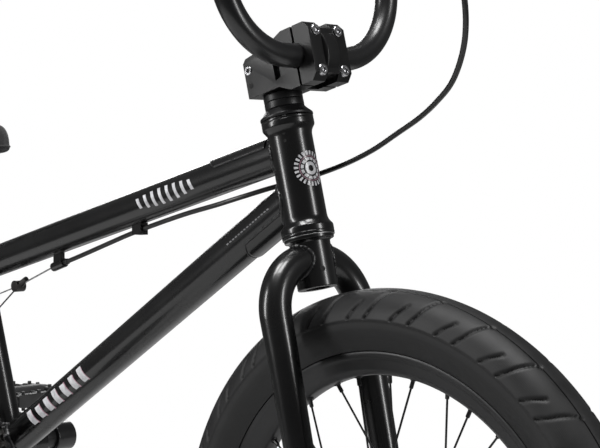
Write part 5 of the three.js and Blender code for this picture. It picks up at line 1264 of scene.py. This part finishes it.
for k in range(link_count):
    outside = k % 2 == 0
    middle = (pins[k] + following[k]) / 2
    for side in (-1, 1):
        near = side * (0.0030 if outside else 0.0019)
        far = side * (0.0040 if outside else 0.0029)
        grid = np.stack([middle + reach_out[:, None] * ways[k] + height_out[:, None] * normals[k] + sideways * y
                         for y in (near, far)])
        links.grid(grid, flip=side > 0)
    links.grid(lathe([[0.0018, -0.0042], [0.0018, 0.0042]], pins[k], wheel_axis, 8))
    links.grid(lathe([[0.0036, -0.0017], [0.0036, 0.0017]], pins[k], wheel_axis, 10))
links.build(chain_steel, "frame", "chain", slot="dark_steel", sharp=40)

pedal_nylon = worn("pedal_nylon", (0.011, 0.011, 0.011), (0.026, 0.026, 0.027), 0.48, 0.66, patch=44, grain=1900,
                   bump=0.16, scratches=0.35)


def bar_block(skin, low, high, taper=0.0007):
    """A box with chamfered edges: eight-sided rings, the end rings drawn in by the chamfer."""
    low, high = np.array(low, float), np.array(high, float)
    mid, half = (low + high) / 2, (high - low) / 2
    corners = np.array([[-1, -0.8], [-0.8, -1], [0.8, -1], [1, -0.8], [1, 0.8], [0.8, 1], [-0.8, 1], [-1, 0.8]])
    rings = []
    for x, shrink in ((-1, taper), (-1 + taper / half[0], 0), (1 - taper / half[0], 0), (1, taper)):
        yz = corners * (half[1:] - shrink)
        rings.append(np.concatenate([np.full((8, 1), mid[0] + x * half[0]), mid[1:] + yz], 1))
    skin.grid(np.stack(rings))


for word, side in (("right", -1), ("left", 1)):
    centre = np.array(joints[f"pedal_{word}_spin"]["pos_m"])
    inner, outer = 0.083, 0.175
    skin = Skin(f"pedal_{word}_platform")
    c = [centre[0], bracket[1], centre[2]]

    def span_box(x0, x1, y0, y1, z0, z1):
        ys = sorted((side * y0, side * y1))
        bar_block(skin, [c[0] + x0, ys[0], c[2] + z0], [c[0] + x1, ys[1], c[2] + z1])

    half_long, half_thick = 0.049, 0.0085
    for end in (-1, 1):
        xs = sorted((end * (half_long - 0.0105), end * half_long))
        span_box(xs[0], xs[1], inner + 0.012, outer - 0.012, -half_thick, half_thick)
        for y0, y1 in ((inner, inner + 0.0125), (outer - 0.0125, outer)):
            xs = sorted((end * 0.004, end * (half_long - 0.010)))
            span_box(xs[0], xs[1], y0, y1, -half_thick, half_thick)
        xs = sorted((end * 0.024, end * 0.0275))
        span_box(xs[0], xs[1], inner + 0.010, outer - 0.010, -0.0052, 0.0052)
        for y in (inner + 0.034, outer - 0.034):
            xs = sorted((end * 0.010, end * (half_long - 0.006)))
            span_box(xs[0], xs[1], y - 0.0022, y + 0.0022, -0.0062, 0.0062)
        for y0, y1, y2 in ((inner + 0.001, inner + 0.0125, 1), (outer - 0.0125, outer - 0.001, -1)):
            corner_path = np.array([[end * (half_long - 0.016), side * ((y0 if y2 > 0 else y1) + 0.004 * y2), 0],
                                    [end * (half_long - 0.0055), side * ((y1 if y2 > 0 else y0) + 0.004 * y2), 0]])
            skin.grid(tube(between(corner_path[0] + c, corner_path[1] + c, 4), 0.0072, 8))
    skin.grid(lathe(eased([[0.0064, inner], [0.0132, inner], [0.0125, inner + 0.02], [0.0120, outer - 0.014],
                           [0.0098, outer], [0.0040, outer]], 0.001), centre * [1, 0, 1], wheel_axis * side, 40),
              flip=False)
    skin.build(pedal_nylon, f"pedal_{word}", f"pedal_{word}", slot="black_plastic", sharp=30)
    pins_skin = Skin(f"pedal_{word}_pins")
    for end in (-1, 1):
        for x, y in ((half_long - 0.005, inner + 0.022), (half_long - 0.005, inner + 0.046),
                     (half_long - 0.005, inner + 0.070), (0.013, inner + 0.006), (0.031, inner + 0.006),
                     (0.013, outer - 0.006), (0.031, outer - 0.006)):
            place = np.array(c) + [end * x, side * y, 0]
            pins_skin.grid(lathe([[0.0021, -half_thick - 0.0034], [0.0024, -half_thick - 0.0026],
                                  [0.0024, half_thick + 0.0026], [0.0021, half_thick + 0.0034]], place,
                                 [0, 0, 1], 10))
    pins_skin.build(pedal_nylon, f"pedal_{word}", slot="black_plastic")


# ------------------------------------------------------------------ seat
# A padded cover of tightly woven cloth stretched over foam and stapled round a moulded nylon
# base, on a steel post that slides in the seat tube and is held by an alloy collar.
saddle_low, saddle_high = (np.array(v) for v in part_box("saddle_pad"))
saddle_tilt = math.radians(5)
seat_forward = np.array([math.cos(saddle_tilt), 0.0, math.sin(saddle_tilt)])
seat_up = np.array([-math.sin(saddle_tilt), 0.0, math.cos(saddle_tilt)])
saddle_length = 0.262
nose_foot = np.array([saddle_high[0] + 0.034 * math.sin(saddle_tilt), 0.0, 0.0])
nose_foot[2] = saddle_low[2] + saddle_length * math.sin(saddle_tilt)


def seat_width(back):
    """Half the seat's width, from its nose to its tail: a narrow nose that flares over the rear."""
    distances = [0, 0.003, 0.008, 0.020, 0.045, 0.090, 0.120, 0.150, 0.175, 0.195, 0.225, 0.245, 0.255, 0.262]
    halves = [0.004, 0.0125, 0.0165, 0.0195, 0.0222, 0.0265, 0.0345, 0.0462, 0.0565, 0.0630, 0.0655, 0.0590,
              0.0490, 0.0250]
    return np.interp(back, distances, halves)


def seat_point(back, across, height):
    back, across, height = np.broadcast_arrays(back, across, height)
    return (nose_foot - back[..., None] * seat_forward + across[..., None] * sideways
            + height[..., None] * seat_up)


cover_cloth = Finish("seat_cover_cloth", 0.85, Sheen_Weight=0.25, Sheen_Roughness=0.5)
cloth_point = cover_cloth.object_point()
cloth_marks = cover_cloth.group(wear, Point=cloth_point, Dark=(0.0085, 0.0085, 0.009, 1), Pale=(0.022, 0.022, 0.023, 1),
                                Smooth=0.78, Rough=0.92, Patch_Scale=20.0, Grain_Scale=700.0, Scratches=0.05)
cloth_axes = cover_cloth.node("ShaderNodeSeparateXYZ", i0=cloth_point)
warp = cover_cloth.node("ShaderNodeMath", {"operation": "SINE"}, i0=cover_cloth.node(
    "ShaderNodeMath", {"operation": "MULTIPLY"}, i0=cloth_axes.outputs["X"], i1=5200.0).outputs[0])
weft = cover_cloth.node("ShaderNodeMath", {"operation": "SINE"}, i0=cover_cloth.node(
    "ShaderNodeMath", {"operation": "MULTIPLY"}, i0=cloth_axes.outputs["Y"], i1=5200.0).outputs[0])
thread = cover_cloth.node("ShaderNodeMath", {"operation": "MULTIPLY"}, i0=warp.outputs[0], i1=weft.outputs[0])
woven = cover_cloth.node("ShaderNodeMath", {"operation": "MULTIPLY_ADD"}, i0=thread.outputs[0], i1=0.5,
                         i2=cloth_marks.outputs["Height"])
cover_cloth.feed("Base Color", cloth_marks.outputs["Color"])
cover_cloth.feed("Roughness", cloth_marks.outputs["Roughness"])
cover_cloth.feed("Normal", cover_cloth.node("ShaderNodeBump", Strength=0.35, Distance=0.0004,
                                            Height=woven.outputs[0]).outputs["Normal"])

back = saddle_length * (0.5 - 0.5 * np.cos(np.linspace(0.03, np.pi - 0.02, 110)))
round_ring = np.linspace(0, 2 * np.pi, 96, endpoint=False)
half = seat_width(back)[:, None]
length_share = (back / saddle_length)[:, None]
end_round = np.clip(np.minimum(back, saddle_length - back) / 0.016, 0, 1)[:, None]
end_fall = 0.50 + 0.50 * np.sqrt(1 - (1 - end_round) ** 2)
crown_height = (0.0325 + 0.0025 * np.cos((length_share - 0.05) * 2 * np.pi)) * end_fall
cos, sin = np.cos(round_ring)[None], np.sin(round_ring)[None]
across = half * np.sign(cos) * np.abs(cos) ** 0.80
upper = crown_height * np.maximum(sin, 0) ** 0.72 * 0.80
seam_pinch = -0.0011 * np.exp(-((sin - 0.10) / 0.05) ** 2)
lower = 0.0065 * np.minimum(sin, 0)
channel = 0.0016 * np.exp(-(across / 0.0045) ** 2) * (length_share > 0.35) * (length_share < 0.9) * (sin > 0.5)
saddle = Skin("saddle_cover")
cover_height = 0.0072 + upper + lower - channel
saddle.grid(seat_point(back[:, None] + 0 * cos, across * (1 + seam_pinch * 12), cover_height), flip=True)
saddle_piece = saddle.build(cover_cloth, "seat", "saddle_pad", slot="seat_cover", sharp=75)

piping = Skin("saddle_edge_piping")
outline_back = np.concatenate([back, back[::-1]])
outline_side = np.concatenate([seat_width(back), -seat_width(back)[::-1]])
edge_line = seat_point(outline_back, outline_side * 0.985, 0.0082)
piping.grid(tube(even(np.concatenate([edge_line, edge_line[:1]]), 300)[:-1], 0.0013, 10, closed=True), along=True)
piping.build(cover_cloth, "seat", slot="seat_cover")
base_nylon = worn("seat_base_nylon", (0.010, 0.010, 0.010), (0.021, 0.021, 0.022), 0.45, 0.62, patch=36, grain=1500,
                  bump=0.14)
copied("saddle_base", base_nylon, "seat", bevel=0.0008)
post = Skin("seat_post_pipe")
post_top = (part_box("seat_post")[1][2] - bracket[2]) / seat_way[2] - 0.004
post.grid(lathe(eased([[0.0107, 0.1602], [0.0127, 0.1602], [0.0127, post_top], [0.0107, post_top], [0.0107, 0.1602]],
                      0.0004), bracket, seat_way, 72), along=True)
post.build(frame_paint, "seat", "seat_post", slot="frame_paint")
copied("seat_clamp", anodised, "frame", bevel=0.0007)
clamp_place = on_seat_tube(0.243) + np.array([-0.022, 0, -0.004])
socket_bolt("seat_clamp_bolt", clamp_place + sideways * -0.0105, -sideways, 0.0046, "frame", depth=0.0036, shank=0.012)


# ------------------------------------------------------------------ rear brake and its cable
# One smooth housing runs from the lever round to a stop under the top tube. From there the bare
# stranded wire pulls a hanger, and two forged arms squeeze moulded rubber shoes onto the rim.
housing_points = np.array([
    [368, -183, 962], [387, -160, 962], [413, -139, 958], [447, -122, 949], [486, -109, 934], [523, -98, 910],
    [553, -88, 877], [573, -78, 840], [581, -67, 803], [580, -55, 769], [571, -42, 744], [557, -30, 724],
    [538, -18, 706], [514, -7, 692], [485, 5, 679], [452, 14, 666], [417, 22, 652], [380, 28, 640],
    [343, 30.5, 630], [313, 25, 622], [288, 15, 615], [262, 5, 607], [230, 0, 598.5], [188, 0, 589.5],
    [144, 0, 578.5], [100, 0, 566.5], [58, 0, 553.5], [15, 0, 540], [-25, 0, 528]]) / 1000


def smooth_through(points, steps):
    """A Catmull-Rom curve: each span is a cubic through its own ends with its neighbours' slopes."""
    ends = np.concatenate([[2 * points[0] - points[1]], points, [2 * points[-1] - points[-2]]])
    t = np.linspace(0, 1, steps, endpoint=False)[None, :, None]
    p0, p1, p2, p3 = (ends[k:len(ends) - 3 + k, None] for k in range(4))
    curve = 0.5 * (2 * p1 + (p2 - p0) * t + (2 * p0 - 5 * p1 + 4 * p2 - p3) * t ** 2
                   + (3 * p1 - p0 - 3 * p2 + p3) * t ** 3)
    return np.concatenate([curve.reshape(-1, 3), points[-1:]])


cable_jacket = worn("cable_jacket", (0.006, 0.006, 0.006), (0.016, 0.016, 0.016), 0.3, 0.45, patch=30, grain=800,
                    bump=0.05, scratches=0.3)
housing = Skin("brake_housing_jacket")
housing.grid(tube(smooth_through(housing_points, 16), 0.0025, 20))
housing_piece = housing.build(cable_jacket, None, "brake_housing", slot="cable_cover")
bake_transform(housing_piece)

wire_steel = worn("stranded_wire", (0.2, 0.2, 0.2), (0.42, 0.42, 0.43), 0.25, 0.4, patch=300, grain=3000, bump=0.3,
                  metallic=1.0)
copied("brake_wire", wire_steel, "frame", bevel=0)
brake_alloy = worn("brake_alloy", (0.009, 0.009, 0.0095), (0.022, 0.022, 0.023), 0.3, 0.46, patch=40, grain=1500,
                   metallic=0.35, scratches=0.2)
for node, body in (("brake_arm_right", "brake_arm_right"), ("brake_arm_left", "brake_arm_left"),
                   ("brake_lever", "brake_lever"), ("lever_mount", "steering")):
    copied(node, brake_alloy, body, bevel=0.0008, segments=3)
copied("straddle_hanger", axle_steel, "straddle_hanger", bevel=0.0007, segments=3)
for node in ("cable_guide", "cable_stop"):
    copied(node, frame_paint, "frame", bevel=0.0008)
for name, at, way_to in (("ferrule_stop", -1, -2), ("ferrule_lever", 0, 1)):
    way = unit(housing_points[way_to] - housing_points[at])
    ferrule = Skin(f"cable_{name}")
    ferrule.grid(lathe(eased([[0.0026, 0.006], [0.0031, 0.0064], [0.0033, 0.012], [0.0033, 0.018], [0.0026, 0.019]],
                             0.0005), housing_points[at], way, 28))
    ferrule.build(brake_alloy, "frame" if at else "steering", slot="satin_black")
for word, side in (("right", -1), ("left", 1)):
    arm = joints[f"brake_arm_{word}_close"]
    place, way = np.array(arm["pos_m"]), np.array(arm["axis"]) * (1 if word == "right" else -1)
    socket_bolt(f"brake_pivot_bolt_{word}", place + way * 0.0086, way, 0.0054, f"brake_arm_{word}", depth=0.003,
                shank=0.004, material=axle_steel)
    spring = Skin(f"brake_spring_{word}")
    t = np.linspace(0, 4 * 2 * np.pi, 160)
    first = unit(np.cross(way, sideways))
    coil = (place - way * (0.0125 - 0.00042 * t[:, None]) + 0.0094 * (first * np.cos(t)[:, None]
            + sideways * np.sin(t)[:, None]))
    spring.grid(tube(coil, 0.0006, 8))
    spring.build(wire_steel, f"brake_arm_{word}", slot="bright_steel")
lever_joint = joints["brake_lever_pull"]
socket_bolt("lever_pin", np.array(lever_joint["pos_m"]) + axis_up * 0.0098, axis_up, 0.0042, "steering", depth=0.0014,
            shank=0.003, material=axle_steel)


# ------------------------------------------------------------------ badge and painted stripes
# Thin printed foils under the clear coat: plain rings on the head tube, and short slanted bars
# on the top and down tubes.
def foil_finish(name, dark, pale):
    finish = Finish(name, 0.3, Coat_Weight=0.4, Coat_Roughness=0.15)
    marks = finish.group(wear, Point=finish.object_point(), Dark=(*dark, 1), Pale=(*pale, 1), Smooth=0.26, Rough=0.42,
                         Patch_Scale=160.0, Grain_Scale=2200.0, Scratches=0.6)
    finish.feed("Base Color", marks.outputs["Color"])
    finish.feed("Roughness", marks.outputs["Roughness"])
    finish.feed("Normal", finish.node("ShaderNodeBump", Strength=0.04, Distance=0.0003,
                                      Height=marks.outputs["Height"]).outputs["Normal"])
    return finish


silver_foil = foil_finish("silver_foil", (0.5, 0.5, 0.52), (0.82, 0.82, 0.84))
rose_foil = foil_finish("rose_foil", (0.34, 0.19, 0.24), (0.5, 0.33, 0.38))
grey_foil = foil_finish("grey_foil", (0.16, 0.16, 0.165), (0.26, 0.26, 0.27))


def foil(name, start, way, radius, facing_way, spans, material, body="frame"):
    """Patches wrapped on a tube. Each span is [from, to, lean from, lean to, slant]: distances
    along the tube, angles round it from the facing direction, and how far it slants."""
    across = unit(np.cross(way, facing_way))
    up = np.cross(across, way)
    skin = Skin(name)
    for low, high, lean_low, lean_high, slant in spans:
        u = np.linspace(0, 1, 8)[:, None]
        v = np.linspace(0, 1, 18)[None, :]
        angle = np.radians(lean_low + (lean_high - lean_low) * v) + 0 * u
        along = low + (high - low) * u + slant * (v - 0.5)
        front, behind = (start + along[..., None] * way + (lift * np.cos(angle))[..., None] * up
                         + (lift * np.sin(angle))[..., None] * across
                         for lift in (radius + 0.00022, radius - 0.0004))
        skin.slab(front, behind)
    return skin.build(material, body)


right_of_top = unit(np.cross(top_way, np.cross(-sideways, top_way)))
at_x = lambda x, start, way: (x - start[0]) / way[0]
top_from, top_to = at_x(0.214, top_front, top_way), at_x(0.125, top_front, top_way)
bars = []
for k, height in enumerate([20, 26, 30, 32, 32, 30, 26, 20]):
    low = top_from + (top_to - top_from) * (k + 0.12) / 8
    bars.append([low, low + 0.0042, -height, height * 0.8, 0.004])
foil("top_tube_bars", top_front, top_way, top_radius, right_of_top, bars, silver_foil)
right_of_down = unit(np.cross(down_way, np.cross(-sideways, down_way)))
down_from, down_to = at_x(0.043, down_front, down_way), at_x(-0.061, down_front, down_way)
bars = []
for k in range(7):
    low = down_from + (down_to - down_from) * (k + 0.1) / 7
    bars.append([low, low + 0.0085, -30, 26 - 4 * (k % 3), 0.006])
foil("down_tube_bars", down_front, down_way, down_radius, right_of_down, bars, silver_foil)
foil("down_tube_bar_edges", down_front, down_way, down_radius - 0.00008, right_of_down,
     [[low - 0.0014, low + 0.0012, -33, 20, 0.006] for low, *rest in bars], rose_foil)
line_from = at_x(0.323, down_front, down_way)
foil("down_tube_dashes", down_front, down_way, down_radius, right_of_down,
     [[line_from + k * 0.0046, line_from + k * 0.0046 + 0.0026, 2, 6, 0.0008] for k in range(15)], grey_foil)


def badge_ring(name, inner, outer, material, broken=0):
    """A ring laid on the head tube: its angle and height round a centre give the tube's own angle."""
    lean0 = math.radians(-6)
    turn = np.linspace(0, 2 * np.pi, 145)[:, None]
    r = np.linspace(inner, outer, 6)[None, :]
    skin = Skin(name)
    parts = [(0, 145)] if not broken else [
        (int(145 * k / broken) + 1, int(145 * (k + 1) / broken) - 1) for k in range(broken)]
    for first, last in parts:
        t = turn[first:last]
        side = (r * np.sin(t)) / head_radius + lean0
        height = 0.3845 + r * np.cos(t)
        front, behind = (steered(lift * np.cos(side), lift * np.sin(side), height)
                         for lift in (head_radius + 0.00035, head_radius - 0.0003))
        skin.slab(front, behind, flip=True)
    skin.build(material, "frame")


badge_ring("badge_outer_ring", 0.0128, 0.0168, silver_foil, broken=24)
badge_ring("badge_thin_ring", 0.0113, 0.0119, rose_foil)
badge_ring("badge_middle_ring", 0.0078, 0.0104, silver_foil, broken=12)
badge_ring("badge_inner_ring", 0.0030, 0.0062, silver_foil)
